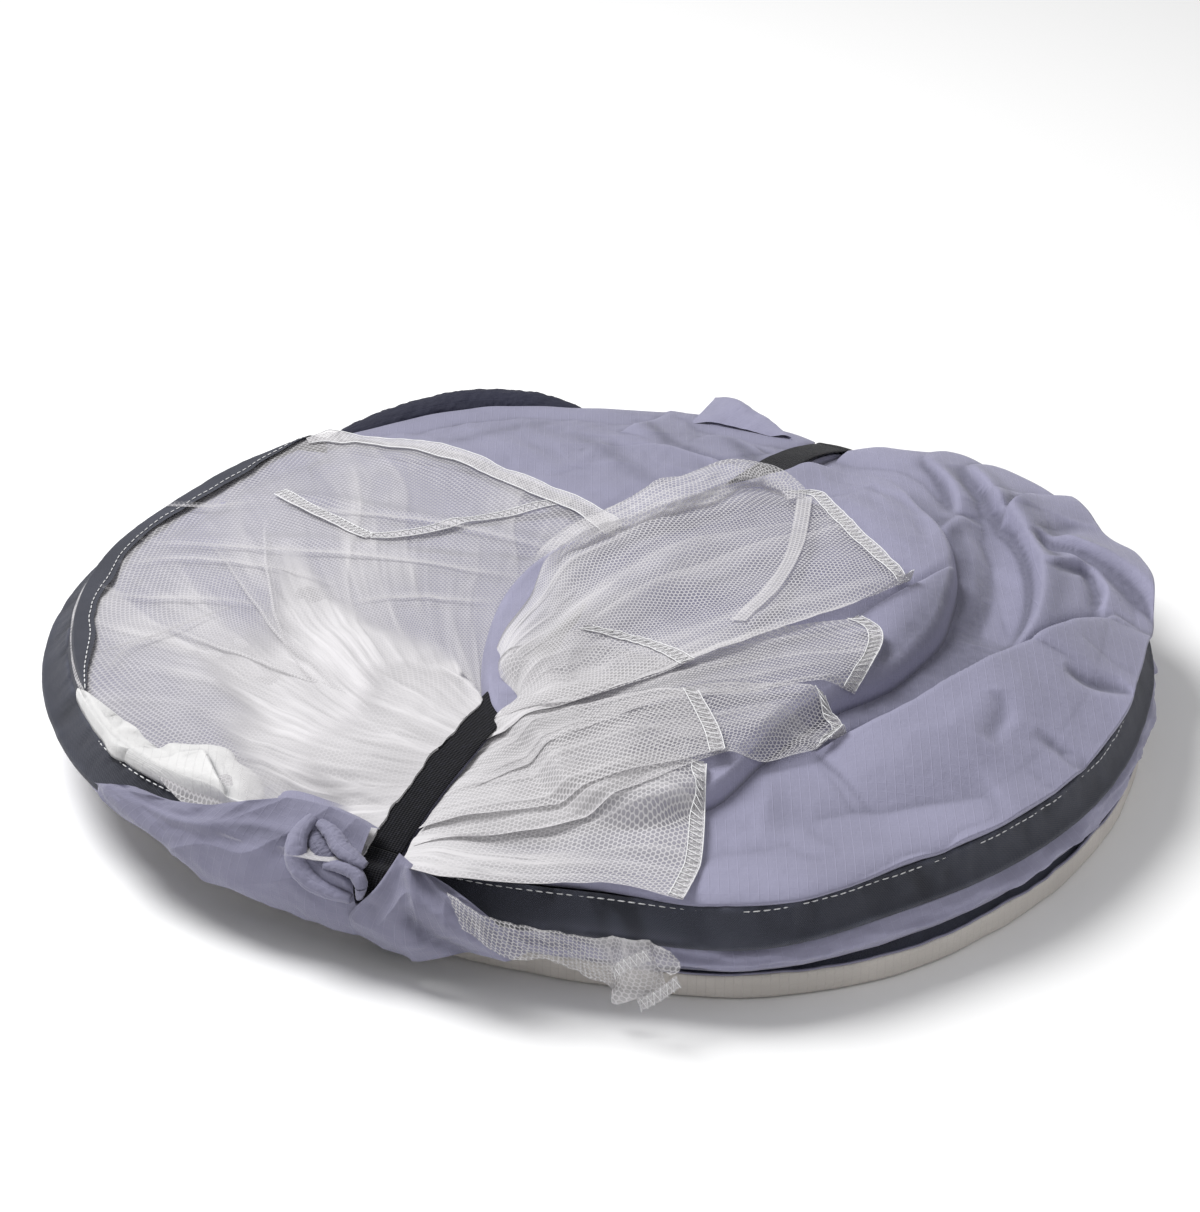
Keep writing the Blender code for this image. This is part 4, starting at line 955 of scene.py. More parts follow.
def lobe_points(outline, cloth, spokes, rings):
    """Puffed cloth of a lobe, with its lip hanging over the tape and its edge turned under."""
    edge = evenly(np.vstack([outline, outline[:1]]), spokes, True)
    centre = edge.mean(axis=0)
    away = edge - centre
    reach = np.linalg.norm(away, axis=1, keepdims=True)
    angle = np.arctan2(edge[:, 1], edge[:, 0])
    rim = smooth(0.010, 0.004, stitched_edge(angle) - np.hypot(edge[:, 0], edge[:, 1]))
    fuller = 0.0010 + 0.0039 * smooth(-0.02, 0.06, edge[:, 0])
    over = (OVERHANG_REACH * table(OVERHANG_SHARES, angle) + fuller) * rim
    over = over * (1 + 0.25 * noise(angle * 9, angle * 0, 5))
    outward = np.stack([np.cos(angle), np.sin(angle)], axis=1)
    share = np.concatenate([1 - np.linspace(0, 0.10, 26), np.linspace(0.9, 0.015, rings)[1:]])
    plan_xy = centre + away[:, None, :] * share[None, :, None]
    depth = (1 - share)[None, :] * reach
    push = over[:, None] * np.exp(-(depth / 0.010) ** 1.3)
    x = plan_xy[..., 0] + outward[:, None, 0] * push
    y = plan_xy[..., 1] + outward[:, None, 1] * push
    lip = RIM_HEIGHT + LIP_HEIGHT + LIP_ROUND * (1 - np.exp(-depth / 0.0045))
    height = np.maximum(cloth(plan_xy[..., 0], plan_xy[..., 1]), lip + 0.0004 * noise(x * 60, y * 60, 8))
    top = np.stack([x, y, height], axis=-1)
    under = []
    for part in (0.0, 0.18, 0.40, 0.66, 0.88):
        push_low = over * (1 - (1 - part) ** 2)
        spot = edge + outward * push_low[:, None]
        sunk = np.where(rim > 0.5, RIM_HEIGHT - 0.0008, RIM_HEIGHT - 0.010)
        rise = sunk + (top[:, 0, 2] - sunk) * (0.55 * part + 0.45 * part ** 3)
        under.append(np.stack([spot[:, 0], spot[:, 1], rise], axis=-1))
    return np.concatenate([np.stack(under, axis=1), top], axis=1)


def patch_points(outline, cloth, low, spokes, rings, round_edge=0.007, turned=0.0015):
    """Folded panel lying on another: its edge is a soft round fold."""
    edge = even_curve(outline, spokes, True)
    centre = edge.mean(axis=0)
    away = edge - centre
    reach = np.linalg.norm(away, axis=1, keepdims=True)
    share = np.concatenate([1 - np.linspace(0, 0.12, 30), np.linspace(0.88, 0.015, rings)[1:]])
    spot = centre + away[:, None, :] * share[None, :, None]
    x, y = spot[..., 0], spot[..., 1]
    depth = (1 - share)[None, :] * reach
    part = np.clip(depth / round_edge, 0, 1)
    crown = np.sqrt(1 - (1 - part) ** 2)
    floor = low(x, y) - turned
    height = floor + (np.maximum(cloth(x, y), floor + 0.003) - floor) * crown
    under = edge + (centre - edge) / reach * 0.003
    under_height = low(under[:, 0], under[:, 1]) - turned
    turn = np.stack([under[:, 0], under[:, 1], under_height], axis=-1)[:, None, :]
    return np.concatenate([turn, np.stack([x, y, height], axis=-1)], axis=1)


def cloth_fan(name, points, finish, weights=None):
    centre = points[:, -1].mean(axis=0)
    plan_uv = points[..., :2]
    uv = np.concatenate([plan_uv, plan_uv[:1]], axis=0)
    return grid_piece(name, points, finish, True, uv, weights or fold_weights(points), centre)


# Pieces
def ride_as_sheet(piece, nodes, flat, layers=1, body="upper_turn"):
    if body:
        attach(piece, body)
    if nodes:
        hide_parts(*nodes)
    cut_sheet(piece, flat, layers)
    return piece


def ride_on(piece, body="upper_turn"):
    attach(piece, body)
    return piece


TAPE_PATHS = {
    "upper": lambda a: (top_rim(a) - SLEEVE_RADIUS, RIM_HEIGHT - TAPE_REACH * np.sin(upper_tilt(a)),
                        upper_tilt(a)),
    "middle": lambda a: (base_rim(a) - MIDDLE_WIRE_INSET - SLEEVE_RADIUS, LOW_WIRE_HEIGHT + 0 * a,
                         math.radians(MIDDLE_TILT) + 0 * a),
    "lower": lambda a: (base_rim(a) - LOWER_WIRE_INSET, LOW_WIRE_HEIGHT + 0 * a,
                        math.radians(LOWER_TILT) + 0 * a),
}
TAPE_KINKS = ((304.0, 0.0016, 1.3), (270.5, 0.0012, 1.0), (273.6, 0.0018, 1.2), (283.0, -0.0008, 2.5),
              (322.0, 0.0008, 1.6), (196.0, 0.0010, 1.5), (172.0, 0.0008, 1.4), (216.0, 0.0010, 1.2))


def tape_spot(turn, angle, along, across):
    radius, height, tilt = TAPE_PATHS[turn](angle)
    inward = along * np.cos(tilt) - across * np.sin(tilt)
    rise = along * np.sin(tilt) + across * np.cos(tilt)
    return polar(radius - inward, angle, height + rise)


def tape_waves(turn, angle, along):
    """Puckers of the sewn tape: pinches at its stitched edge and a few real kinks."""
    seed = {"upper": 51, "middle": 61, "lower": 71}[turn]
    share = np.clip(along / TAPE_REACH, 0, 1)
    wave = 0.00055 * ripple(angle * 26, share * 1.2, seed) * (0.35 + share)
    pull = 0.00022 * np.sin(angle * 190 + 2 * noise(angle * 12, 0 * angle, seed)) * share ** 2
    total = wave + pull
    if turn == "upper":
        for degrees, depth, width in TAPE_KINKS:
            gap = (np.degrees(angle) - degrees + share * 1.2) / width
            total = total - depth * np.exp(-gap ** 2) * (0.4 + 0.6 * share)
    return total


def tape_piece(turn, stations):
    """Tape folded round the wire, its two edges sewn together."""
    angle = np.linspace(0, FULL_TURN, stations, endpoint=False)[:, None]
    fold = np.radians(np.linspace(90, 270, 11))
    along = np.concatenate([[TAPE_REACH + 0.0003], np.linspace(TAPE_REACH, 0.0010, 12),
                            SLEEVE_RADIUS * np.cos(fold), np.linspace(0.0010, TAPE_REACH - 0.0006, 8)])
    outer, inner = (TAPE_HALF + (SLEEVE_RADIUS - TAPE_HALF) * np.exp(-side / 0.0035)
                    for side in (along[1:13], along[-8:]))
    across = np.concatenate([[0.0003], outer, SLEEVE_RADIUS * np.sin(fold), -inner])
    along, across = along[None, :], across[None, :]
    shift = tape_waves(turn, angle, along)
    points = tape_spot(turn, angle + 0 * along, along + 0 * angle, across + shift)
    # Pale wear along the tape's edges, and painted shade in the dents where it puckers.
    worn = flat_weights(points)
    worn["crest"] = np.broadcast_to(np.exp(-((along - TAPE_REACH) / 0.0018) ** 2)
                                    + 0.6 * np.exp(-((along + 0.002) / 0.0025) ** 2), points.shape[:2])
    worn["painted_shade"] = np.clip(-shift / 0.0009, 0, 1)
    # Below the upper turn the tape is brightened with painted light.
    look = "wire_tape" if turn == "upper" else "painted_light_tape"
    piece = grid_piece(f"{turn}_sleeve_tape", points, look, True, None, worn)
    return ride_as_sheet(piece, [f"{turn}_tape"], flat_size(points, True),
                         body=f"{turn}_turn")


def stitch_line(name, spots, normals, finish):
    """Row of stitches: short spindles of thread, evenly spaced along a path."""
    radius = sizes().thread_radius
    length, gap = sizes().stitch_length, sizes().stitch_gap
    along = distances(spots)
    vertices, faces = [], []
    for k, start in enumerate(np.arange(0, along[-1] - length, length + gap)):
        jitter = 0.00015 * math.sin(k * 12.9898)
        ends_at = picked([start, start + length], along, spots)
        normal = picked(start + length / 2, along, normals)
        run = ends_at[1] - ends_at[0]
        run /= np.linalg.norm(run)
        side = np.cross(run, normal)
        side /= np.linalg.norm(side)
        base = len(vertices)
        vertices.append(ends_at[0] + side * jitter)
        for step in (0.22, 0.78):
            middle = ends_at[0] + (ends_at[1] - ends_at[0]) * step + normal * radius * 0.35
            for turn in (0, 90, 180, 270):
                swing = math.radians(turn)
                vertices.append(middle + radius * (side * math.cos(swing) + normal * math.sin(swing)))
        vertices.append(ends_at[1] - side * jitter)
        for s in range(4):
            after = (s + 1) % 4
            faces.append((base, base + 1 + after, base + 1 + s))
            faces.append((base + 1 + s, base + 1 + after, base + 5 + after, base + 5 + s))
            faces.append((base + 9, base + 5 + s, base + 5 + after))
    return mesh_piece(name, vertices, faces, finish)


def tape_stitches(turn, along, first=0.0, last=360.0):
    angle = np.radians(np.linspace(first, last, 1440))
    across = TAPE_HALF + tape_waves(turn, angle, along + 0 * angle)
    spots = tape_spot(turn, angle, along + 0 * angle, across)
    lifted = tape_spot(turn, angle, along + 0 * angle, across + 0.001)
    piece = stitch_line(f"{turn}_tape_stitches", spots, (lifted - spots) / 0.001,
                        "sewing_thread")
    return ride_on(piece, f"{turn}_turn")


class TENT_OT_tapes(bpy.types.Operator):
    """Tapes folded round the three turns of wire, with their rows of stitches"""
    bl_idname = "tent.tapes"
    bl_label = "Tapes and stitches"

    def execute(self, context):
        tape_piece("upper", 1080)
        tape_piece("middle", 900)
        tape_piece("lower", 360)
        tape_stitches("upper", TAPE_REACH - 0.0022, -158.0, 124.0)
        tape_stitches("middle", TAPE_REACH * 0.55)
        self.turned_edge()
        return {"FINISHED"}

    def turned_edge(self):
        """Tape lying over the edge of the net at the left, with its stitches."""
        angle = np.radians(np.linspace(121, 203, 320))[:, None]
        turn = np.degrees(angle)
        wide = 0.0004 + 0.0150 * smooth(121, 143, turn) * smooth(203, 184, turn)
        wide = wide * (1 + 0.10 * ripple(angle * 9, 0, 95))
        depth = wide * np.linspace(0, 1, 18)[None, :]
        radius = stitched_edge(angle) + 0.0014 - depth
        x, y = radius * np.cos(angle), radius * np.sin(angle)
        low = RIM_HEIGHT + 0.0002
        top = left_net_floor(x, y) + 0.0034 + 0.0005 * ripple(angle * 14, depth * 90, 97)
        height = low + (top - low) * smooth(0, 0.0045, depth)
        points = np.stack([x, y, height], axis=-1)
        piece = grid_piece("turned_tape_edge", points[::-1], "wire_tape", False, None,
                           flat_weights(points))
        ride_as_sheet(piece, [], flat_size(points))
        row = points[:, 14] + np.array([0, 0, 0.0003])
        stitches = stitch_line("turned_tape_stitches", row, np.tile([0.0, 0.0, 1.0], (len(row), 1)),
                               "sewing_thread")
        ride_on(stitches)


class TENT_OT_wires(bpy.types.Operator):
    """Finish of the spring wire and its ferrule"""
    bl_idname = "tent.wires"
    bl_label = "Wires and ferrule"

    def execute(self, context):
        for name in ("upper_wire", "middle_wire", "lower_wire", "wire_ferrule"):
            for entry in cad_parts[name].material_slots:
                entry.material = look_of("spring_wire")
        return {"FINISHED"}


class TENT_OT_ground_sheet(bpy.types.Operator):
    """Cream ground sheet with its edge turned up round the lower turns"""
    bl_idname = "tent.ground_sheet"
    bl_label = "Ground sheet"

    def execute(self, context):
        angle = np.linspace(0, FULL_TURN, 900, endpoint=False)[:, None]
        rim = base_rim(angle)
        plan = polar(rim * np.linspace(0.97, 0.02, 26), angle, 0.0004)
        channel = 1 - smooth(0.0104, 0.0120, np.abs(strap_side(plan[..., 0], plan[..., 1])))
        plan[..., 2] += 0.0022 * channel
        heights = np.array([0.0136, 0.0130, 0.0112, 0.0090, 0.0068, 0.0046, 0.0028, 0.0014, 0.0006])
        bows = np.array([0.0, 0.0006, 0.0007, 0.0003, 0.0006, 0.0004, 0.0003, 0.0, -0.0012])
        crumple = 0.0010 * ripple(angle * 14, heights * 120, 81) * np.linspace(1, 0.4, 9)
        wavy = heights + 0.0009 * noise(angle * 9, 0 * angle, 87) * np.linspace(1, 0, 9)
        wall = polar(rim + bows + crumple - 0.0006, angle, wavy)
        fold = polar(rim - np.array([0.0014, 0.0022]), angle, np.array([0.0036, 0.0125]))
        points = np.concatenate([fold, wall, plan], axis=1)
        centre = np.array([0.0, 0.0, 0.0026])
        uv = np.concatenate([points[..., :2], points[:1, :, :2]], axis=0)
        uv[:, :11, 0] = np.linspace(0, FULL_TURN * DISC_RADIUS, 901)[:, None]
        uv[:, :11, 1] = arc_map(points, True)[:, :11, 1]
        piece = grid_piece("ground_sheet_cloth", points, "ground_cloth", True, uv,
                           flat_weights(points), centre)
        across = 2 * DISC_RADIUS + 2 * GROUND_WALL_HEIGHT
        ride_as_sheet(piece, ["ground_sheet"], (across, across),
                      body="lower_turn")
        edge = points[:, 2] + np.array([0, 0, 0.0002])
        closed = np.vstack([edge, edge[:1]])
        outward = closed / np.linalg.norm(closed, axis=1, keepdims=True)
        # The binding gets an even, light painted shade.
        piping = closed_tube("ground_sheet_binding", closed - outward * 0.0004,
                             np.full(len(closed), 0.0007), "wall_cloth", 6,
                             weights={"painted_shade": 0.2, "crest": 0.0})
        ride_on(piping, "lower_turn")
        return {"FINISHED"}


def cap_ends(piece, points, centres):
    """Fans the first ring of a grid that closes on itself, and the last, to the given centres."""
    work = bmesh.new()
    work.from_mesh(piece.data)
    corners = list(work.verts)
    count_u, count_v = points.shape[:2]
    for column, centre in zip((0, count_v - 1), centres):
        tip = work.verts.new(centre)
        for k in range(count_u):
            pair = [corners[k * count_v + column], corners[((k + 1) % count_u) * count_v + column]]
            work.faces.new([pair[0], tip, pair[1]] if column == 0 else [tip, *pair]).smooth = True
    work.to_mesh(piece.data)
    work.free()


# Shares of the rim and heights, from the underside outwards and back over the top
LOWER_LAYERS = (
    (0.1, 0.0036), (0.5, 0.0036), (0.9, 0.0036), (0.99, 0.0036), (0.995, 0.0080), (0.985, 0.0120),
    (0.9, 0.0128), (0.7, 0.0128), (0.5, 0.0128), (0.3, 0.0128), (0.1, 0.0128))
MIDDLE_LAYERS = (
    (0.1, 0.0134), (0.5, 0.0134), (0.9, 0.0134), (0.99, 0.0134), (0.997, 0.0180), (0.99, 0.0230),
    (0.975, 0.0265), (0.9, 0.0272), (0.7, 0.0272), (0.5, 0.0272), (0.3, 0.0272), (0.1, 0.0272))


class TENT_OT_inner_layers(bpy.types.Operator):
    """Folded cloth that shows between the tapes at the side of the stack"""
    bl_idname = "tent.inner_layers"
    bl_label = "Folded layers"

    def execute(self, context):
        def lower_edge(angle):
            return base_rim(angle) - LOWER_WIRE_INSET - TAPE_REACH - 0.0003

        def middle_edge(angle):
            reach = TAPE_REACH * math.cos(math.radians(MIDDLE_TILT))
            return base_rim(angle) - MIDDLE_WIRE_INSET - SLEEVE_RADIUS - reach - 0.0016

        self.bundle("lower", lower_edge, LOWER_LAYERS, 240, 95, "ground_sheet_cloth")
        self.bundle("middle", middle_edge, MIDDLE_LAYERS, 360, 97, "lower_folded_cloth")
        self.wall_cloth()
        return {"FINISHED"}

    def bundle(self, turn, rim, profile, stations, seed, under):
        """Closed bundle of folded cloth between two turns, creased round its edge."""
        angle = np.linspace(0, FULL_TURN, stations, endpoint=False)[:, None]
        shares, heights = np.array(profile).T[:, None, :]
        radius = rim(angle) * shares + 0.0006 * noise(angle * 20, np.arange(len(profile)) * 0.7, 91)
        points = polar(radius, angle, heights)
        points[..., 2] += 0.0004 * ripple(points[..., 0] * 40, points[..., 1] * 40, seed)
        low, top = (np.array([0.0, 0.0, points[:, end, 2].mean()]) for end in (0, -1))
        # The folded layers get an even, light painted shade.
        piece = grid_piece(f"{turn}_folded_cloth", points, "wall_cloth", True, None,
                           flat_weights(points, 0.1), top)
        cap_ends(piece, points, [low])
        ride_as_sheet(piece, [f"{turn}_layers"], (2 * DISC_RADIUS, 2 * DISC_RADIUS),
                      2, f"{turn}_turn")

    def wall_cloth(self):
        """Wall cloth folded up under the upper turn, creased along its length."""
        def rim(angle):
            return base_rim(angle) + (top_rim(angle) - base_rim(angle)) * 0.6 - SLEEVE_RADIUS / 2

        def under_tape(angle):
            return TAPE_PATHS["upper"](angle)[1] - SLEEVE_RADIUS - 0.0003

        angle = np.linspace(0, FULL_TURN, 1000, endpoint=False)[:, None]
        low = 0.0281
        rise = np.linspace(0, 1, 22)[None, :]
        skirt = low - 0.0066
        height = skirt + (under_tape(angle) + 0.0010 - skirt) * rise
        bulge = 0.0046 * np.sin(math.pi * rise) + 0.0020 * creased(angle * 7 + rise * 1.3, rise * 3.2, 101)
        bulge = bulge + 0.0014 * ripple(angle * 16, rise * 2.2, 105)
        radius = rim(angle) + bulge * (0.25 + 0.75 * np.sin(math.pi * np.clip(rise * 0.9, 0, 1)))
        shares = np.linspace(0.10, 0.985, 10)[None, :]
        floor = low + 0.0004
        below = polar(rim(angle) * shares, angle, floor + 0.0006 * ripple(angle * 5, shares * 9, 107))
        above = polar(stitched_edge(angle) * np.linspace(0.97, 0.10, 7), angle, 0.0360)
        points = np.concatenate([below, polar(radius, angle, height), above], axis=1)
        weights = flat_weights(points)
        # Painted shade in the dents of the creased band, painted highlight on its bulges.
        weights["painted_shade"][:, 10:32] = np.clip(-bulge / 0.0016, 0, 1)
        weights["crest"][:, 10:32] = np.clip(bulge / 0.0050, 0, 1)
        piece = grid_piece("upper_wall_cloth", points, "wall_cloth", True, None, weights,
                           np.array([0.0, 0.0, 0.0360]))
        cap_ends(piece, points, [np.array([0.0, 0.0, floor])])
        across = 2 * DISC_RADIUS + 0.020
        ride_as_sheet(piece, ["upper_band"], (across, across),
                      2)


class TENT_OT_lobes(bpy.types.Operator):
    """Puffed cloth of the two lobes and the panels folded over them"""
    bl_idname = "tent.lobes"
    bl_label = "Cloth lobes"

    def execute(self, context):
        lobes = (
            # The last number is an even painted shade over the whole lobe, which darkens the back lobe.
            ("right", right_outline(), right_cloth, 640, 118, (0.52, 0.36), RIGHT_SHADES, 0.0),
            ("left", left_outline(), left_cloth, 380, 76, (0.46, 0.30), (), 0.0),
            ("back", back_outline(), back_cloth, 380, 72, (0.34, 0.24), BACK_SHADES, 0.30))
        for side, outline, cloth, spokes, rings, flat, shades, base in lobes:
            points = lobe_points(outline, cloth, spokes, rings)
            piece = cloth_fan(f"{side}_lobe_cloth", points, "wall_cloth",
                              shaded(points, shades, base))
            ride_as_sheet(piece, [f"{side}_panel"], flat)
        points = patch_points(OVER_OUTLINE, over_cloth, under_over, 620, 100)
        piece = cloth_fan("folded_over_cloth", points, "wall_cloth", shaded(points, OVER_SHADES))
        ride_as_sheet(piece, ["right_over_panel"], (0.42, 0.28))
        self.lining()
        self.gather()
        return {"FINISHED"}

    def lining(self):
        """Pale cloth that lies at the left under the net."""
        def low(x, y):
            return left_cloth(x, y) + 0.0002

        def top(x, y):
            rise = left_net_floor(x, y) + 0.0030 + 0.0010 * ripple(x * 14, y * 14, 111)
            folds = ((((-178, -189), (-183, -176), (-189, -160), (-195, -141)),
                      5, 2.2, 20, 3),
                     (((-240, -120), (-222, -128), (-205, -150)), 2.5, 3, 20, 1))
            return np.maximum(with_folds(x, y, rise, folds), lip_top() + 0.0012)

        outline = mm((-258, -72), (-254, -97), (-247, -121), (-236, -144), (-218, -167), (-200, -188),
                     (-178, -208), (-163, -169), (-176, -152), (-188, -138), (-206, -120),
                     (-224, -104), (-243, -83))
        angle, reach = np.arctan2(outline[:, 1], outline[:, 0]), np.linalg.norm(outline, axis=1)
        outline *= ((stitched_edge(angle) + 0.0016) / reach)[:, None] ** (reach > 0.236)[:, None]
        points = patch_points(outline, top, low, 240, 50, 0.004, 0.0)
        piece = cloth_fan("pale_lining_cloth", points, "lining_cloth")
        ride_as_sheet(piece, [], (0.150, 0.055))

    def gather(self):
        """Cloth drawn together under the strap."""
        along = np.linspace(crossing(panel_edge, 0, -1), crossing(panel_edge, 0, 1), 300)[:, None]
        side = np.linspace(-1, 1, 40)[None, :]
        spot = strap_plan(along + 0 * side, side * 0.0103 + 0 * along)
        drop = 0.020 * smooth(0.80, 1.0, np.abs(side))
        pleat = 0.0008 * np.sin(side * 9 + 2 * noise(along * 30, 0 * along, 121))
        top = strap_surface(spot[..., 0], spot[..., 1]) - STRAP_THICKNESS - 0.0026 + pleat - drop
        points = with_height(spot, top)[:, ::-1]
        # The cloth gathered under the strap gets an even painted shade.
        piece = grid_piece("waist_cloth", points, "wall_cloth", False, None,
                           flat_weights(points, 0.4))
        ride_as_sheet(piece, ["waist_gather"], flat_size(points))


def loft(guides, count_u, count_v, closed=False):
    """Grid through guide lines in millimetres: each runs from root to tip, evenly stepped."""
    rows = np.stack([even_curve(mm(*guide), count_v) for guide in guides])
    span = len(guides) if closed else len(guides) - 1
    return spline(rows, np.linspace(0, span, count_u, endpoint=not closed), closed)


def cloth_normals(points):
    along = np.gradient(points, axis=0)
    across = np.gradient(points, axis=1)
    normal = np.cross(along, across)
    return normal / np.maximum(np.linalg.norm(normal, axis=2, keepdims=True), 1e-12)


def displaced(points, amount):
    return points + cloth_normals(points) * amount[..., None]


class TENT_OT_back_cloth(bpy.types.Operator):
    """Roll of cloth darkened with painted shade, and pointed corner of cloth at the back of the rim"""
    bl_idname = "tent.back_cloth"
    bl_label = "Roll and corner at the back"

    def execute(self, context):
        angles = np.radians(np.array([127, 122, 116, 110, 104, 98, 93, 90.0]))
        girth = np.array([0.0030, 0.0074, 0.0105, 0.0120, 0.0126, 0.0112, 0.0070, 0.0024])
        radius, height, tilt = TAPE_PATHS["upper"](angles)
        stand = 0.0012 + 0.78 * girth
        inward = 0.0060 + TAPE_REACH / 2 * np.cos(tilt) - stand * np.sin(tilt)
        rise = TAPE_REACH / 2 * np.sin(tilt) + stand * np.cos(tilt)
        path = polar(radius - inward, angles, height + rise)
        both = even_curve(np.column_stack([path, girth]), 260)
        # The roll is the blue grey cloth; its dark colour is painted shade.
        piece = closed_tube("shaded_cloth_roll", both[:, :3], both[:, 3], "roll_cloth", 72, 0.80,
                            0.035, 131, {"painted_shade": 0.0, "crest": 0.0})
        ride_as_sheet(piece, ["back_roll"], (0.20, 0.060),
                      2)
        guides = (
            ((52, 238, 63), (60, 250, 64), (66, 260, 65), (69, 268, 65.5)),
            ((66, 236, 64), (74, 245, 67.2), (80, 252, 69), (82, 258, 69)),
            ((84, 229, 64), (92, 234, 66.5), (97, 238, 67), (98, 241, 66)),
            ((100, 220, 63.5), (106, 219, 64.5), (110, 218, 64), (112, 217, 63.5)))
        points = loft(guides, 60, 40)
        points = displaced(points, 0.0009 * ripple(points[..., 0] * 60, points[..., 1] * 60, 135))
        folded_back = points[:, ::-1] + np.array([0.0, -0.0010, -0.0022])
        points = np.concatenate([points, folded_back], axis=1)
        piece = grid_piece("back_corner_cloth", points[::-1], "wall_cloth", False, None,
                           flat_weights(points))
        ride_as_sheet(piece, ["back_tab"], flat_size(points))
        return {"FINISHED"}


LEFT_FLAP_GUIDES = (
    ((-250, -146, 50), (-246, -150, 52), (-240, -154, 54), (-232, -158, 56)),
    ((-243, -155, 45), (-240, -158, 50), (-232, -163, 54.5), (-222, -167, 57)),
    ((-226, -172, 39), (-226, -174, 46), (-220, -175, 52), (-208, -176, 56)),
    ((-208, -187, 33), (-211, -188, 42), (-206, -188, 51), (-193, -186, 59)),
    ((-190, -199, 28), (-193, -202, 38), (-188, -201, 52), (-172, -193, 65)),
    ((-170, -209, 24), (-173, -213, 35), (-168, -212, 53), (-150, -196, 69)),
    ((-150, -218, 21), (-154, -222, 33), (-149, -221, 53), (-133, -203, 70)),
    ((-133, -225, 19), (-137, -229, 32), (-133, -228, 52), (-119, -211, 69)),
    ((-112, -234, 18), (-114, -238, 31), (-116, -235, 50), (-108, -219, 67)))
RIGHT_FLAP_GUIDES = (
    ((-94, -235, 66), (-105, -243, 52), (-118, -238, 34), (-119, -231, 18)),
    ((-91, -238, 65), (-97, -248, 50), (-103, -247, 32), (-97, -241, 14)),
    ((-88, -241, 64), (-90, -252, 52), (-91, -255, 34), (-85, -249, 14)),
    ((-85, -243, 63), (-82, -255, 53), (-77, -260, 38), (-70, -257, 22)),
    ((-81, -246, 62), (-72, -259, 54), (-62, -265, 42), (-56, -264, 28)),
    ((-76, -249, 61), (-63, -262, 54), (-50, -268, 44), (-43, -268, 30)),
    ((-70, -254, 60), (-58, -264, 56), (-44, -269, 45), (-34, -271, 34)))
# Knotted folds: name, girth, painted shade and line in millimetres. The inner tube fills the knot's opening
# and is darkened almost fully with painted shade, for the shaded inside of the knot.
KNOT_FOLDS = (
    ("knot_shaded_inside", 0.0068, 0.90, mm(
        (-136, -209, 63), (-134, -216, 59), (-129, -223, 55), (-121, -230, 51))),
    ("knot_fold_left", 0.0056, 0.34, mm(
        (-137, -209, 69), (-143, -215, 64), (-145, -222, 59), (-143, -227, 52), (-137, -231, 47),
        (-127, -236, 44), (-118, -240, 43))),
    ("knot_fold_right", 0.0048, 0.34, mm(
        (-134, -212, 68), (-127, -219, 65), (-123, -226, 62.5), (-117, -232, 61), (-111, -236, 59))),
    ("knot_fold_low", 0.0038, 0.45, mm(
        (-131, -231, 56), (-123, -234, 57), (-116, -238, 56), (-113, -242, 52), (-114, -241, 44))),
)


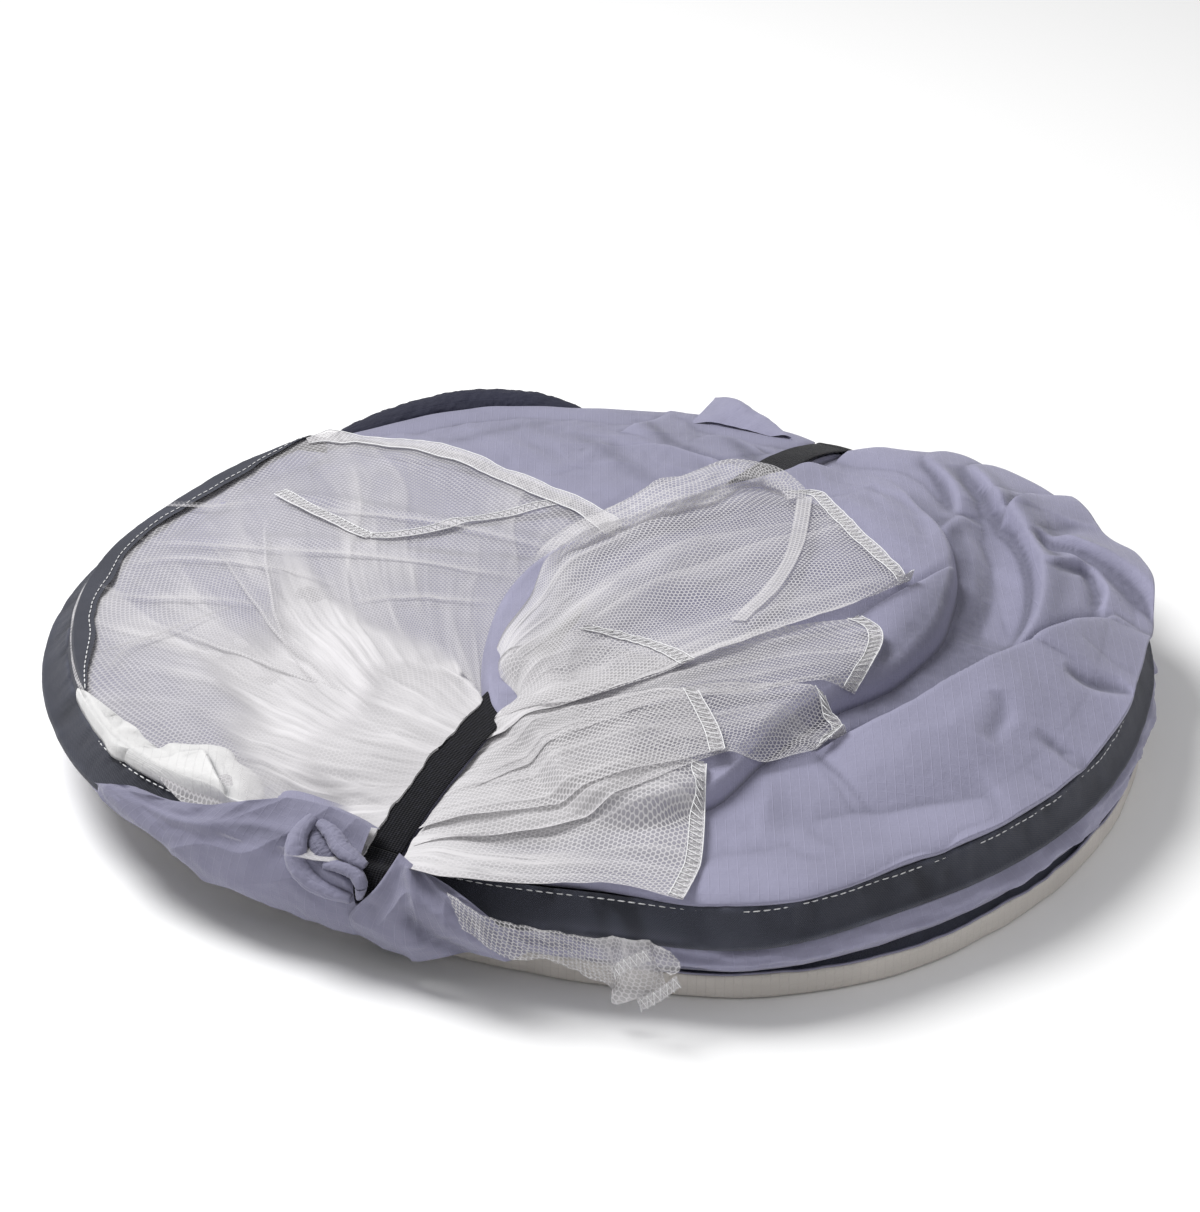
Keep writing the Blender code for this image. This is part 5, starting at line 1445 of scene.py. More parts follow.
class TENT_OT_front_flaps(bpy.types.Operator):
    """Cloth turned up over the rim on both sides of the strap, with its knotted folds"""
    bl_idname = "tent.front_flaps"
    bl_label = "Front flaps"

    def execute(self, context):
        self.left_flap()
        self.right_flap()
        return {"FINISHED"}

    def left_flap(self):
        points = loft(LEFT_FLAP_GUIDES, 300, 120)
        u, v = unit_grid(300, 120)
        soft = 0.0016 * ripple(u * 6 + v, v * 2.4, 141) + 0.0010 * creased(u * 7 - 2 * v, v * 2.0 + u, 143)
        long_fold = 0.0040 * np.exp(-((v - 0.52 - 0.16 * np.sin(u * 3)) / 0.07) ** 2) * smooth(0.15, 0.5, u)
        second = -0.0030 * np.exp(-((v - 0.74 + 0.10 * u) / 0.05) ** 2) * smooth(0.35, 0.7, u)
        edge = np.clip(np.minimum(u / 0.04, (1 - u) / 0.03), 0, 1)
        opening = np.linalg.norm(points - np.array((-0.133, -0.220, 0.0580)), axis=2)
        opening = np.exp(-(opening / 0.0085) ** 2)
        points = displaced(points, (soft + long_fold + second - 0.0028 * opening) * edge)
        points[..., 2] += 0.0030 * smooth(0.55, 0.95, v) * smooth(0.10, 0.35, u)
        # Painted shade over the whole flap, deeper in the second fold's trough and deepest in the knot's
        # opening.
        painted_shade = 0.42 + np.clip(-second / 0.003, 0, 1) + 1.5 * opening
        weights = fold_weights(points)
        weights["painted_shade"] = np.clip(weights["painted_shade"] * 0.4 + painted_shade, 0, 1)
        turned = points[:, -1:] + np.array([0.004, 0.004, -0.0035])
        points = np.concatenate([points, turned], axis=1)
        weights = {label: np.concatenate([value, value[:, -1:]], axis=1)
                   for label, value in weights.items()}
        piece = grid_piece("left_front_flap", points, "wall_cloth", False, None, weights)
        ride_as_sheet(piece, ["front_flap_left"], flat_size(points))
        # Each knot fold is darkened by its painted shade.
        for name, girth, shade, line in KNOT_FOLDS:
            path = even_curve(line, 120) + np.array((0.0008, 0.0018, -0.0006))
            girths = girth * np.sin(np.linspace(0.35, math.pi - 0.3, 120)) ** 0.6
            piece = closed_tube(name, path, girths, "wall_cloth", 40, 0.8, 0.05, 151,
                                {"painted_shade": shade, "crest": 0.0})
            ride_as_sheet(piece, [], (distances(path)[-1], 0.020),
                          2)

    def right_flap(self):
        points = loft(RIGHT_FLAP_GUIDES, 160, 150)
        u, v = unit_grid(160, 150)
        soft = 0.0012 * ripple(u * 3, v * 4, 161) + 0.0010 * creased(u * 5 + v, v * 2, 163)
        crest = 0.0030 * np.exp(-((u - 0.30 - 0.55 * v) / 0.09) ** 2)
        crest = crest + 0.0022 * np.exp(-((u - 0.62 - 0.42 * v) / 0.07) ** 2)
        gully = -0.0030 * np.exp(-((u - 0.16 - 0.42 * v) / 0.07) ** 2) * smooth(0.3, 0.6, v)
        edge = np.clip(np.minimum(u / 0.05, (1 - u) / 0.05), 0, 1) * np.clip(v / 0.06, 0, 1)
        points = displaced(points, -(soft + crest + gully) * edge)
        weights = fold_weights(points)
        # Painted shade over the whole flap, deeper in its gully.
        weights["painted_shade"] = np.clip(0.40 - gully / 0.0035, 0, 1) + 0 * points[..., 0]
        piece = grid_piece("right_front_flap", points[::-1], "wall_cloth", False, None,
                           {label: value[::-1] for label, value in weights.items()})
        ride_as_sheet(piece, ["front_flap_right"], flat_size(points))


def ribbon_points(path, width_steps=18):
    """Flat webbing along (along, height) places: a closed, slightly crowned section."""
    out = across_of(path)
    half = STRAP_WIDTH / 2
    side = np.linspace(-half, half, width_steps)
    crown = (STRAP_THICKNESS / 2) * (1 - (np.abs(side) / half) ** 8) + 0.00012
    loop_side = np.concatenate([side, side[::-1]])
    loop_out = np.concatenate([crown, -crown])
    waves = loop_out + 0.00025 * noise(path[:, :1] * 90, loop_side * 120, 171)
    edge_wave = 1 + 0.02 * noise(path[:, :1] * 60, 0 * path[:, :1], 173)
    spot = strap_plan(path[:, :1] + out[:, :1] * waves, loop_side * edge_wave)
    return with_height(spot, path[:, 1:] + out[:, 1:] * waves)


def ribbon(name, path, body, node):
    """Run of the strap along (along, height) places, closed at both ends."""
    path = np.asarray(path)
    points = ribbon_points(path).transpose(1, 0, 2)
    piece = grid_piece(name, points, "strap_elastic", True, None, flat_weights(points))
    cap_ends(piece, points, (points[:, 0].mean(axis=0), points[:, -1].mean(axis=0)))
    size = (max(distances(path)[-1], 0.0105), STRAP_WIDTH * 1.10)
    return ride_as_sheet(piece, [node], size, 2, body)


class TENT_OT_strap(bpy.types.Operator):
    """Woven elastic strap round the waist of the folded tent"""
    bl_idname = "tent.strap"
    bl_label = "Elastic strap"

    def execute(self, context):
        start, end = widest_crossing(stitched_edge, -1), widest_crossing(stitched_edge, 1)
        along = np.linspace(start, end, 260)
        spot = strap_plan(along, 0)
        height = strap_surface(spot[:, 0], spot[:, 1]) - STRAP_THICKNESS / 2
        ribbon("strap_top_run", np.stack([along, height], axis=1), "upper_turn", "strap_upper")
        feet = [widest_crossing(base_rim, side) + side * STRAP_THICKNESS for side in (-1, 1)]
        low = 0.0004 + STRAP_THICKNESS / 2
        ribbon("strap_under_run", evenly(np.array(((feet[0], low), (feet[1], low))), 120), "lower_turn",
               "strap_lower")
        for end, side, foot in (("front", -1, feet[0]), ("back", 1, feet[1])):
            self.fall(f"strap_{end}_run", f"strap_{end}", side, foot)
        return {"FINISHED"}

    def fall(self, name, node, side, foot):
        reach = widest_crossing(stitched_edge, side)
        rim = widest_crossing(top_rim, side) + side * STRAP_THICKNESS
        spot = strap_plan(reach, 0)
        top = float(strap_surface(spot[0], spot[1])) - STRAP_THICKNESS / 2
        angle = STRAP_ANGLE + (math.pi if side < 0 else 0.0)
        wire = float(TAPE_PATHS["upper"](np.array(angle))[1])
        path = even_curve(((reach + side * 0.0004, top - 0.0002), (reach + side * 0.006, top - 0.0035),
                           (rim - side * 0.003, (top + wire) / 2 + 0.003), (rim, wire),
                           (foot + side * 0.0036, GROUND_WALL_HEIGHT), (foot + side * 0.0028, 0.0070),
                           (foot + side * 0.0012, 0.0026)), 120)
        piece = ribbon(name, path, None, node)
        x, y = (float(place) for place in strap_plan(foot + side * 0.0012, 0))
        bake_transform(piece)


# Nets
def over_inside(x, y):
    """1 on the folded panel, 0 beyond its edge; its outline runs counterclockwise."""
    gap, _share = along_line(x, y, np.vstack([OVER_OUTLINE, OVER_OUTLINE[:1]]))
    return smooth(-0.004, 0.008, gap)


def right_net_floor(x, y):
    """What the right net lies on: the strap and folded panel, and the lobe beyond them."""
    near_strap = np.exp(-(np.maximum(np.abs(strap_side(x, y)) - 0.012, 0) / 0.010) ** 2)
    inside = over_inside(x, y)
    raised = np.maximum(over_cloth(x, y) + 0.0018, dome(x, y, STRAP_ARCH) + 0.0032 * near_strap)
    outside = np.maximum(right_cloth(x, y) + 0.0018, lip_top() - 0.0002)
    return outside * (1 - inside) + np.maximum(raised, outside) * inside


def left_net_floor(x, y):
    base = np.maximum(left_cloth(x, y), lip_top() - 0.0008)
    band = np.maximum(back_cloth(x, y), lip_top() - 0.0008)
    over_seam = smooth(-0.01, 0.02, x + y - 0.045)
    base = np.maximum(base, band * over_seam + base * (1 - over_seam))
    beyond = np.hypot(x, y) - stitched_edge(np.arctan2(y, x))
    turn = np.degrees(np.arctan2(y, x)) % 360
    behind_flap = smooth(224, 232, turn) * smooth(254, 246, turn) * smooth(-0.034, -0.014, beyond)
    return base - 0.0080 * behind_flap + 0.0008 - 0.0058 * smooth(-0.0030, 0.0050, beyond)


def unit_grid(count_u, count_v):
    return np.linspace(0, 1, count_u)[:, None], np.linspace(0, 1, count_v)[None, :]


def pleated(u, v, count, seed, wander=0.6):
    """Gathers running from root to tip: sharp crests, unevenly spaced."""
    drift = wander * noise(u * 3.1, v * 1.7, seed)
    main = 1 - np.abs(noise(u * count + 2 * drift, v * 1.3 + 3, seed + 2)) ** 0.7
    fine = 1 - np.abs(noise(u * count * 2.7 + 3 * drift, v * 2.1, seed + 5)) ** 0.8
    return 0.65 * main + 0.35 * fine


def overlaps(u, v, count, seed, wide=0.07, strength=0.30):
    """Edges of net lying on net: each is crisp on one side and fades on the other."""
    total = 0 * u * v
    for k in range(count):
        place, drift, reach, force, start, side = ((lattice(k, n, seed) + 1) / 2 for n in range(6))
        centre = place * 1.04 - 0.02 + (drift - 0.5) * 0.22 * v + 0.012 * noise(v * 5, k, seed)
        gap = (u - centre) * (1 if side > 0.5 else -1)
        band = smooth(-0.0015, 0.0030, gap) * np.exp(-np.maximum(gap, 0) / (wide * (0.12 + reach ** 2)))
        low = 0.75 * start - 0.30
        run = smooth(-0.1, 0.1, v - low) * smooth(0.12, -0.12, v - low - 0.45 - 0.55 * reach)
        total = total + strength * (0.25 + 0.75 * force) * band * run
    return total


def beside_strap(plan_xy, way):
    """Keeps a net's root clear of the strap where the strap lies open."""
    x, y = plan_xy[..., 0], plan_xy[..., 1]
    along = x * math.cos(STRAP_ANGLE) + y * math.sin(STRAP_ANGLE)
    limit = 0.0076 + 0.0018 * ripple(along * 70, 0, 43, 2)
    push = np.maximum(limit - way * strap_side(x, y), 0) * smooth(-0.112, -0.130, along) * way
    across = np.array([math.sin(STRAP_ANGLE), -math.cos(STRAP_ANGLE)])
    return plan_xy + push[..., None] * across


def net_leaf(guides, floor, lift, count_u, count_v, pleats, height, seed, root_dense, root_reach,
             base_dense=0.0, root_rise=0.0, edge_dense=0.40, edge_roll=0.0015, layers=None):
    """One leaf of gathered net: guide lines in plan from its root to its hem."""
    plan_xy = beside_strap(loft(guides, count_u, count_v), -1 if floor is left_net_floor else 1)
    u, v = unit_grid(count_u, count_v)
    crest = pleated(u, v, pleats, seed)
    over = overlaps(u, v, 2 * pleats + 8 if layers is None else layers, seed + 20)
    fading = (0.30 + 0.70 * np.exp(-v / 0.35)) * (0.25 + 0.75 * smooth(0.0, 0.14, v))
    x, y = plan_xy[..., 0], plan_xy[..., 1]
    rise = floor(x, y) + lift + height * fading * crest + 0.0012 * over - 0.0030 * np.exp(-v / 0.025)
    rise = rise + root_rise * np.exp(-(v / 0.30) ** 2) * np.sin(math.pi * np.clip(u * 0.9 + 0.05, 0, 1))
    rise = rise + 0.0010 * ripple(x * 30, y * 30, seed + 4)
    sides = np.exp(-u / 0.025) + np.exp(-(1 - u) / 0.025)
    rise = rise + edge_roll * sides * (1 - v)
    open_strap = smooth(-0.105, -0.125, x * math.cos(STRAP_ANGLE) + y * math.sin(STRAP_ANGLE))
    beside = strap_surface(x, y) + 0.0014
    cap = beside + (rise - beside) * smooth(-0.004, 0.026, np.abs(strap_side(x, y)) - 0.0085)
    rise = rise + (np.minimum(rise, cap) - rise) * open_strap
    dense = base_dense + root_dense * np.exp(-(v / root_reach) ** 1.6)
    dense = dense + (0.34 * crest ** 2 - 0.07) * (0.30 + 0.70 * np.exp(-v / 0.45)) + over
    dense = dense + edge_dense * sides + 0.12 * ripple(x * 22, y * 22, seed + 7)
    return with_height(plan_xy, rise), np.clip(dense, 0, 1)


def leaf_piece(name, points, dense, flip=False, present=None, soft=0.15):
    uv = arc_map(points, False)
    present = np.ones(points.shape[:2]) if present is None else np.clip(present, 0, 1)
    if flip:
        points, dense, present, uv = points[::-1], dense[::-1], present[::-1], uv[::-1]
    weights = {"dense": dense, "present": present, "soft": np.full(points.shape[:2], soft)}
    return grid_piece(name, points, "white_net", False, uv, weights)


def net_sheet(name, points, dense, nodes, held, rests_on, **more):
    """Piece of net, attached to the upper turn in place of the given parts."""
    return ride_as_sheet(leaf_piece(name, points, dense, **more), nodes,
                         flat_size(points))


def tip_band(points, depth, lift, steps=7):
    """Strip along a leaf's tip, as deep as the hem, lying just on it."""
    wanted = np.linspace(0, depth, steps)
    strip = np.stack([picked(wanted, distances(row), row) for row in points[:, ::-1]])
    return strip + np.array([0, 0, lift])


def resampled(grid, count):
    """Grid with its columns evenly spaced along the first way, and its length that way."""
    along = distances(grid[:, grid.shape[1] // 2])
    flat = picked(np.linspace(0, along[-1], count), along, grid.reshape(len(grid), -1))
    return flat.reshape(count, *grid.shape[1:]), along[-1]


def strip_over(line, count, offset, floor, lift):
    """Flat strip along a line in plan, lying on a surface."""
    path = even_curve(line, count)
    spot = path[:, None, :] + across_of(path)[:, None, :] * np.atleast_2d(offset)[..., None]
    return with_height(spot, floor(spot[..., 0], spot[..., 1]) + lift)


def thread_run(name, path, radius=None):
    thick = radius or sizes().thread_radius
    return closed_tube(name, path, np.full(len(path), thick), "sewing_thread", 5)


def overlock(name, strip, node, leaf, pitch=0.0042):
    """Overlocked hem: a doubled strip of net with thread zigzagging over it."""
    fine, length = resampled(strip, 160)
    dense = 0.50 + 0.12 * noise(np.arange(160)[:, None] * 0.5, np.arange(fine.shape[1]), 181)
    net_sheet(f"{name}_band", fine, dense, node, "folded", leaf, flip=True)
    turns = 2 * max(6, int(round(length / pitch))) + 1
    zigzag(name, (fine[:, 1], fine[:, -1]), turns, np.array([0, 0, 0.0006]))
    edge_threads(f"{name}_{{}}_thread", fine[::2], 0.0004)


def zigzag(name, rows, turns, lift):
    """Thread going to and fro between the two edges of a hem."""
    count = len(rows[0])
    path = [picked(place, np.arange(count), rows[k % 2])
            for k, place in enumerate(np.linspace(0, count - 1, turns))]
    ride_on(thread_run(f"{name}_zigzag", np.array(path) + lift))


def edge_threads(name, strip, lift, radius=None):
    for label, row in (("outer", strip[:, 0]), ("inner", strip[:, -1])):
        ride_on(thread_run(name.format(label), row + np.array([0, 0, lift]), radius))


def to_rim(degrees, *places):
    """Places in millimetres, and after them one at the rim's stitched edge."""
    angle = np.array(math.radians(degrees))
    return (*places, polar(stitched_edge(angle) - 0.0006, angle, 0)[:2] * 1000)


VEIL_GUIDES = (
    ((-50, -132), (-30, -70), (-15, -10), (-2, 35), (12, 70)),
    ((-54, -130), (-45, -60), (-35, 10), (-25, 60), (-14, 104)),
    ((-58, -130), (-62, -55), (-60, 20), (-55, 80), (-50, 140)),
    ((-62, -130), (-85, -50), (-92, 30), (-92, 110), (-94, 182)),
    to_rim(126, (-66, -132), (-108, -55), (-128, 35), (-135, 125)),
    to_rim(139, (-70, -135), (-128, -65), (-160, 20), (-180, 100)),
    to_rim(156, (-74, -138), (-145, -78), (-190, -10), (-225, 60)),
    to_rim(174, (-78, -142), (-155, -95), (-205, -45), (-245, -10)),
    to_rim(190, (-82, -148), (-155, -115), (-205, -80), (-240, -60)),
    to_rim(203, (-86, -156), (-150, -135), (-195, -118), (-225, -105)),
    to_rim(214, (-90, -166), (-140, -160), (-175, -155), (-200, -150)),
    ((-94, -178), (-125, -180), (-150, -184), (-170, -188), (-188, -196)),
    ((-98, -190), (-112, -196), (-128, -200), (-145, -203), (-158, -203)))
HAZE_GUIDES = (
    ((-52, -137), (-61, -118), (-69, -94), (-74, -64), (-71, -38)),
    ((-55, -146), (-76, -118), (-90, -79), (-102, -37), (-110, 8)),
    ((-60, -154), (-85, -126), (-108, -78), (-129, -19), (-144, 46)),
    ((-64, -162), (-100, -125), (-134, -66), (-162, -4), (-185, 86)),
    ((-69, -170), (-110, -133), (-148, -74), (-185, -6), (-213, 63)),
    ((-74, -178), (-114, -146), (-157, -96), (-198, -40), (-236, 23)),
    ((-78, -189), (-118, -162), (-162, -126), (-203, -86), (-248, -32)),
    ((-82, -196), (-119, -177), (-163, -151), (-205, -120), (-246, -82)),
    ((-87, -206), (-123, -191), (-158, -174), (-189, -159), (-218, -139)),
    ((-91, -212), (-120, -206), (-147, -197), (-169, -187), (-190, -181)),
    ((-98, -221), (-119, -221), (-140, -218), (-165, -211), (-190, -204)))
SWIRL_GUIDES = (
    ((-51, -145), (-58, -121), (-65, -104), (-73, -92), (-82, -77)),
    ((-53, -151), (-68, -128), (-84, -104), (-99, -88), (-118, -75)),
    ((-58, -160), (-80, -145), (-102, -126), (-123, -110), (-147, -94)),
    ((-63, -169), (-88, -165), (-113, -155), (-139, -139), (-167, -126)),
    ((-69, -182), (-95, -184), (-119, -180), (-144, -170), (-169, -161)),
    ((-78, -197), (-99, -202), (-120, -201), (-142, -197), (-164, -191)),
    ((-86, -212), (-103, -218), (-121, -219), (-141, -217), (-162, -211)),
    ((-96, -226), (-109, -231), (-126, -231), (-142, -228), (-159, -223)))
TENSION_FOLDS = (
    (((-178, 113), (-141, 95), (-94, 81), (-44, 57), (-9, 37)), 6, 0.62),
    (((-254, 83), (-214, 66), (-173, 52), (-130, 43), (-78, 26), (-30, 8)),
     7, 0.66),
    (((-268, 28), (-242, 12), (-203, 0), (-173, -15)), 6, 0.50),
    (((-256, -75), (-248, -46), (-227, -30), (-185, -8)), 5.5, 0.60),
    (((-260, -45), (-243, -36), (-226, -35)), 4.5, 0.50),
    (((-134, -12), (-93, -8), (-53, -14)), 7, 0.72),
    (((-262, 102), (-246, 124), (-189, 118)), 6, 0.50),
    (((-106, -90), (-74, -79), (-55, -113)), 6, 0.70),
    (((-262, 55), (-229, 54), (-184, 35), (-139, 8)), 7, 0.45),
    (((-183, 90), (-172, 18), (-158, -49), (-136, -110)), 12, 0.40),
    (((-215, 75), (-190, 20), (-160, -50), (-120, -120)), 9, 0.35),
    (((-246, -10), (-200, -45), (-150, -85), (-100, -135)), 10, 0.35),
)
LEFT_SEAMS = {
    "seam_left": mm((-180, 129), (-162, 105), (-144, 84), (-125, 63)),
    "seam_right": mm((-125, 63), (-105, 67), (-80, 77), (-51, 90), (-16, 100)),
}
# Leaves: guides in millimetres, lift, pleats, their height, seed, then how dense and how far
# the root is, how dense the rest is and how high the root stands
RIGHT_LEAVES = (
    ("front_leaf", "net_hem_front", (
        ((-94, -238), (-76, -255), (-15, -259), (3, -259), (18, -263), (38, -272)),
        ((-92, -230), (-60, -244), (-12, -247), (10, -248), (43, -258)),
        ((-90, -223), (-50, -232), (-8, -234), (20, -234), (47, -243)),
        ((-87, -215), (-40, -218), (0, -216), (25, -214), (49, -222)),
        ((-83, -206), (-32, -204), (4, -199), (28, -194), (50, -202)),
        ((-78, -198), (-28, -190), (8, -182), (30, -178), (51, -186))),
     0.0006, 9, 0.0030, 201, 0.85, 0.62, 0.06, 0.0026),
    ("middle_leaf", "net_hem_tip", (
        ((-88, -224), (-50, -223), (-20, -217), (18, -202), (66, -176), (111, -154)),
        ((-83, -208), (-30, -197), (20, -180), (70, -158), (119, -145)),
        ((-75, -190), (-25, -174), (25, -157), (72, -140), (121, -134)),
        ((-66, -172), (-20, -152), (30, -133), (75, -120), (111, -121))),
     0.0020, 8, 0.0036, 211, 0.75, 0.45, 0.02, 0.0024),
    ("side_leaf", "net_hem_side", (
        ((-80, -202), (-20, -166), (36, -142), (80, -126), (127, -111)),
        ((-70, -180), (-10, -146), (45, -121), (95, -101), (140, -88)),
        ((-62, -158), (0, -126), (50, -101), (100, -80), (143, -67)),
        ((-55, -138), (4, -111), (45, -93), (90, -71), (133, -56))),
     0.0034, 6, 0.0032, 221, 0.65, 0.35, 0.0, 0.0024),
    ("back_leaf", "net_hem_back", (
        ((-60, -155), (-21, -141), (4, -129), (45, -109), (65, -95), (128, -49), (164, -16)),
        ((-55, -140), (0, -105), (50, -60), (100, -20), (153, 9)),
        ((-52, -125), (-10, -80), (40, -20), (90, 20), (139, 42)),
        ((-50, -110), (-20, -60), (20, 0), (75, 45), (130, 67)),
        ((-50, -95), (-30, -45), (-8, 8), (45, 55), (122, 90)),
        ((-52, -85), (-36, -40), (-25, 12), (12, 62), (60, 86), (108, 96))),
     0.0050, 8, 0.0032, 231, 0.60, 0.30, 0.0, 0.0024),
)
SMALL_LEAVES = (
    ("upper_small_leaf", (
        ((-54, -140), (-20, -139), (15, -126), (47, -109)),
        ((-53, -128), (-22, -118), (8, -102), (31, -87)),
        ((-53, -118), (-28, -102), (-6, -86), (14, -75)),
        ((-55, -105), (-36, -90), (-20, -79), (-4, -71))),
     0.0066, 5, 0.0030, 241, 0.45, 0.35, 0.03),
    ("lower_small_leaf", (
        ((-86, -214), (-30, -207), (20, -193), (60, -180)),
        ((-78, -196), (-30, -184), (15, -171), (58, -166)),
        ((-70, -178), (-30, -163), (10, -151), (54, -152)),
        ((-62, -160), (-30, -144), (10, -134), (48, -135))),
     0.0046, 5, 0.0035, 251, 0.55, 0.40, 0.04),
)


class TENT_OT_left_net(bpy.types.Operator):
    """Net of the left lobe: a thin veil to the rim, and a bunch of gathers over it"""
    bl_idname = "tent.left_net"
    bl_label = "Left net"

    def execute(self, context):
        u, v = unit_grid(560, 170)
        veil, dense = net_leaf(VEIL_GUIDES, left_net_floor, 0.0006, 560, 170, 20, 0.0024, 261, 0.40, 0.30,
                               0.0, 0.003, 0.10, 0.0010, 36)
        clear = np.exp(-(((u - 0.11) / 0.09) ** 2 + ((v - 0.45) / 0.20) ** 2))
        cloudy = smooth(0.30, 0.55, u) * 0.10 * (1 + ripple(u * 9, v * 4, 267))
        dense = np.clip(dense * (1 - 0.85 * clear) + cloudy, 0, 1)
        net_sheet("left_net_veil", veil, dense, ["left_net"], "gathered", "left_lobe_cloth", soft=0.55)
        self.bunch("left_net_bunch", HAZE_GUIDES, 0.0034, 380, 124, 14, 0.0034, 271, 0.48, "left_net_veil")
        self.bunch("left_net_swirl", SWIRL_GUIDES, 0.0070, 300, 100, 10, 0.0042, 281, 0.34, "left_net_bunch")
        self.selvedge(veil)
        self.tension_folds()
        self.seams()
        return {"FINISHED"}

    def bunch(self, name, guides, lift, count_u, count_v, pleats, height, seed, base, under):
        """Gathered net over the veil, thinning out to nothing at its far edge."""
        points, dense = net_leaf(guides, left_net_floor, lift, count_u, count_v, pleats, height, seed,
                                 0.35, 0.50, base, 0.005, 0.0)
        u, v = unit_grid(count_u, count_v)
        ragged = 0.80 + 0.17 * ripple(u * 7.5, v * 1.2, seed + 2, 2)
        inner = 0.004 + 0.020 * ripple(v * 5.5, u * 1.5, seed + 6, 2)
        present = smooth(ragged + 0.02, ragged - 0.24, v) * smooth(inner, inner + 0.02, u)
        present = present * smooth(0, 0.02, 1 - u)
        puff = ripple(points[..., 0] * 15, points[..., 1] * 15, seed + 3)
        points[..., 2] += 0.0020 * puff * smooth(0.15, 0.5, v)
        dense = np.clip(dense + 0.10 * puff, 0, 0.93)
        net_sheet(name, points, dense, [], "gathered", under, present=present, soft=0.70)

    def tension_folds(self):
        """Thin taut folds that cross the veil from the rim to the strap."""
        for number, (line, width, dense) in enumerate(TENSION_FOLDS):
            offset = np.linspace(-0.5, 0.5, 9)[None, :]
            steps = np.arange(220)[:, None]
            taper = 0.5 + 0.5 * np.sin(steps * math.pi / 219) + 0.15 * noise(steps * 0.05, 0, number)
            crisp = np.exp(-(offset + 0.5) / 0.28)
            arch = 0.0040 + 0.0014 * (1 - (2 * offset) ** 2)
            strip = strip_over(mm(*line), 220, offset * mm(width) * taper, left_net_floor, arch)
            weight = np.clip(dense * crisp + 0 * taper, 0, 1)
            present = crisp * np.sin(np.linspace(0.06, math.pi - 0.06, 220))[:, None] ** 0.7
            net_sheet(f"left_net_fold_{number + 1}", strip, weight, [], "folded", "left_net_veil",
                      present=present)

    def selvedge(self, veil):
        """Pale band where the net's edge is doubled over the back cloth."""
        strip = tip_band(veil[:198], 0.017, 0.0012, 12)
        fine, _length = resampled(strip, 300)
        dense = 0.46 + 0.20 * noise(np.arange(300)[:, None] * 0.10, np.arange(12)[None, :] * 0.5, 291)
        net_sheet("left_net_selvedge", fine, np.clip(dense, 0, 1), ["left_net_hem"], "folded",
                  "left_net_veil", flip=True)
        edge_threads("left_net_selvedge_{}", fine[::3], 0.0003, 0.00035)

    def seams(self):
        for name, line in LEFT_SEAMS.items():
            strip = strip_over(line, 160, np.linspace(-0.0035, 0.0035, 7), left_net_floor, 0.0024)
            overlock(f"left_{name}", strip, [], "left_net_veil", 0.0040)


class TENT_OT_right_net(bpy.types.Operator):
    """Net of the right lobe: leaves with overlocked hems, drawn together at the strap"""
    bl_idname = "tent.right_net"
    bl_label = "Right net"

    def execute(self, context):
        for name, hem, *shape in RIGHT_LEAVES:
            nodes = ["right_net"] if name == "front_leaf" else []
            self.leaf(name, hem, 260, 130, shape, nodes, [hem], "folded_over_cloth", 4)
        for name, *shape in SMALL_LEAVES:
            self.leaf(name, name, 160, 110, shape, [], [], "right_net_back_leaf", 0)
        self.doubled_strip()
        self.loop_roll()
        return {"FINISHED"}

    def leaf(self, name, hem, count_u, count_v, shape, nodes, hem_nodes, under, trim):
        """One leaf with its overlocked hem, which stops short of the leaf's corners by the trim."""
        guides, *settings = shape
        points, dense = net_leaf(guides, right_net_floor, settings[0], count_u, count_v, *settings[1:])
        piece = net_sheet(f"right_net_{name}", points, dense, nodes, "gathered", under)
        tip = tip_band(points[trim:count_u - trim], sizes().hem_width, 0.0005)
        overlock(f"{hem}_overlock", tip, hem_nodes, piece.name)

    def doubled_strip(self):
        """Net folded over itself, running down the folded panel."""
        line = mm((112, 83), (108, 50), (102, 15), (89, -30), (70, -66))
        strip = strip_over(line, 120, np.linspace(-0.0042, 0.0042, 9), right_net_floor, 0.0075)
        net_sheet("net_doubled_strip", strip, np.full(strip.shape[:2], 0.38), [], "folded",
                  "right_net_back_leaf")

    def loop_roll(self):
        """Net turned over in a standing arch at the back end of the strap."""
        flat = even_curve(mm((-30, -10), (-22, 20), (-2, 46), (25, 64), (50, 80), (70, 100),
                             (90, 104), (104, 94), (108, 80)), 260)
        spread = np.interp(np.linspace(0, 1, 260), (0, 0.25, 0.55, 0.8, 1),
                           (0.006, 0.011, 0.017, 0.014, 0.005))
        turn = np.linspace(0.10, math.pi * 0.92, 48)[None, :]
        steps, ring = unit_grid(260, 48)
        swell = 1 + 0.13 * ripple(steps * 9, ring * 4, 301)
        swell = swell + 0.07 * creased(steps * 4 + ring * 3, ring * 6, 303)
        width = spread[:, None] * swell
        middle = flat[:, None, :] - across_of(flat)[:, None, :] * (np.cos(turn) * width)[..., None]
        floor = right_net_floor(flat[:, 0], flat[:, 1])[:, None] + 0.0055
        height = floor + np.sin(turn) * width * 0.62
        points = with_height(middle, height)[:, ::-1]
        crest = pleated(ring, steps, 8, 307)
        dense = 0.02 + 0.25 * crest ** 2 + 0.10 * ripple(steps * 14, ring * 5, 305)
        dense = dense + overlaps(ring, steps, 16, 309, 0.10) + 0.35 * np.exp(-(1 - ring) / 0.04)
        net_sheet("net_arch_roll", points, np.clip(dense, 0, 0.9), ["net_roll"], "gathered",
                  "right_net_back_leaf", present=smooth(0.0, 0.12, steps) + 0 * ring)


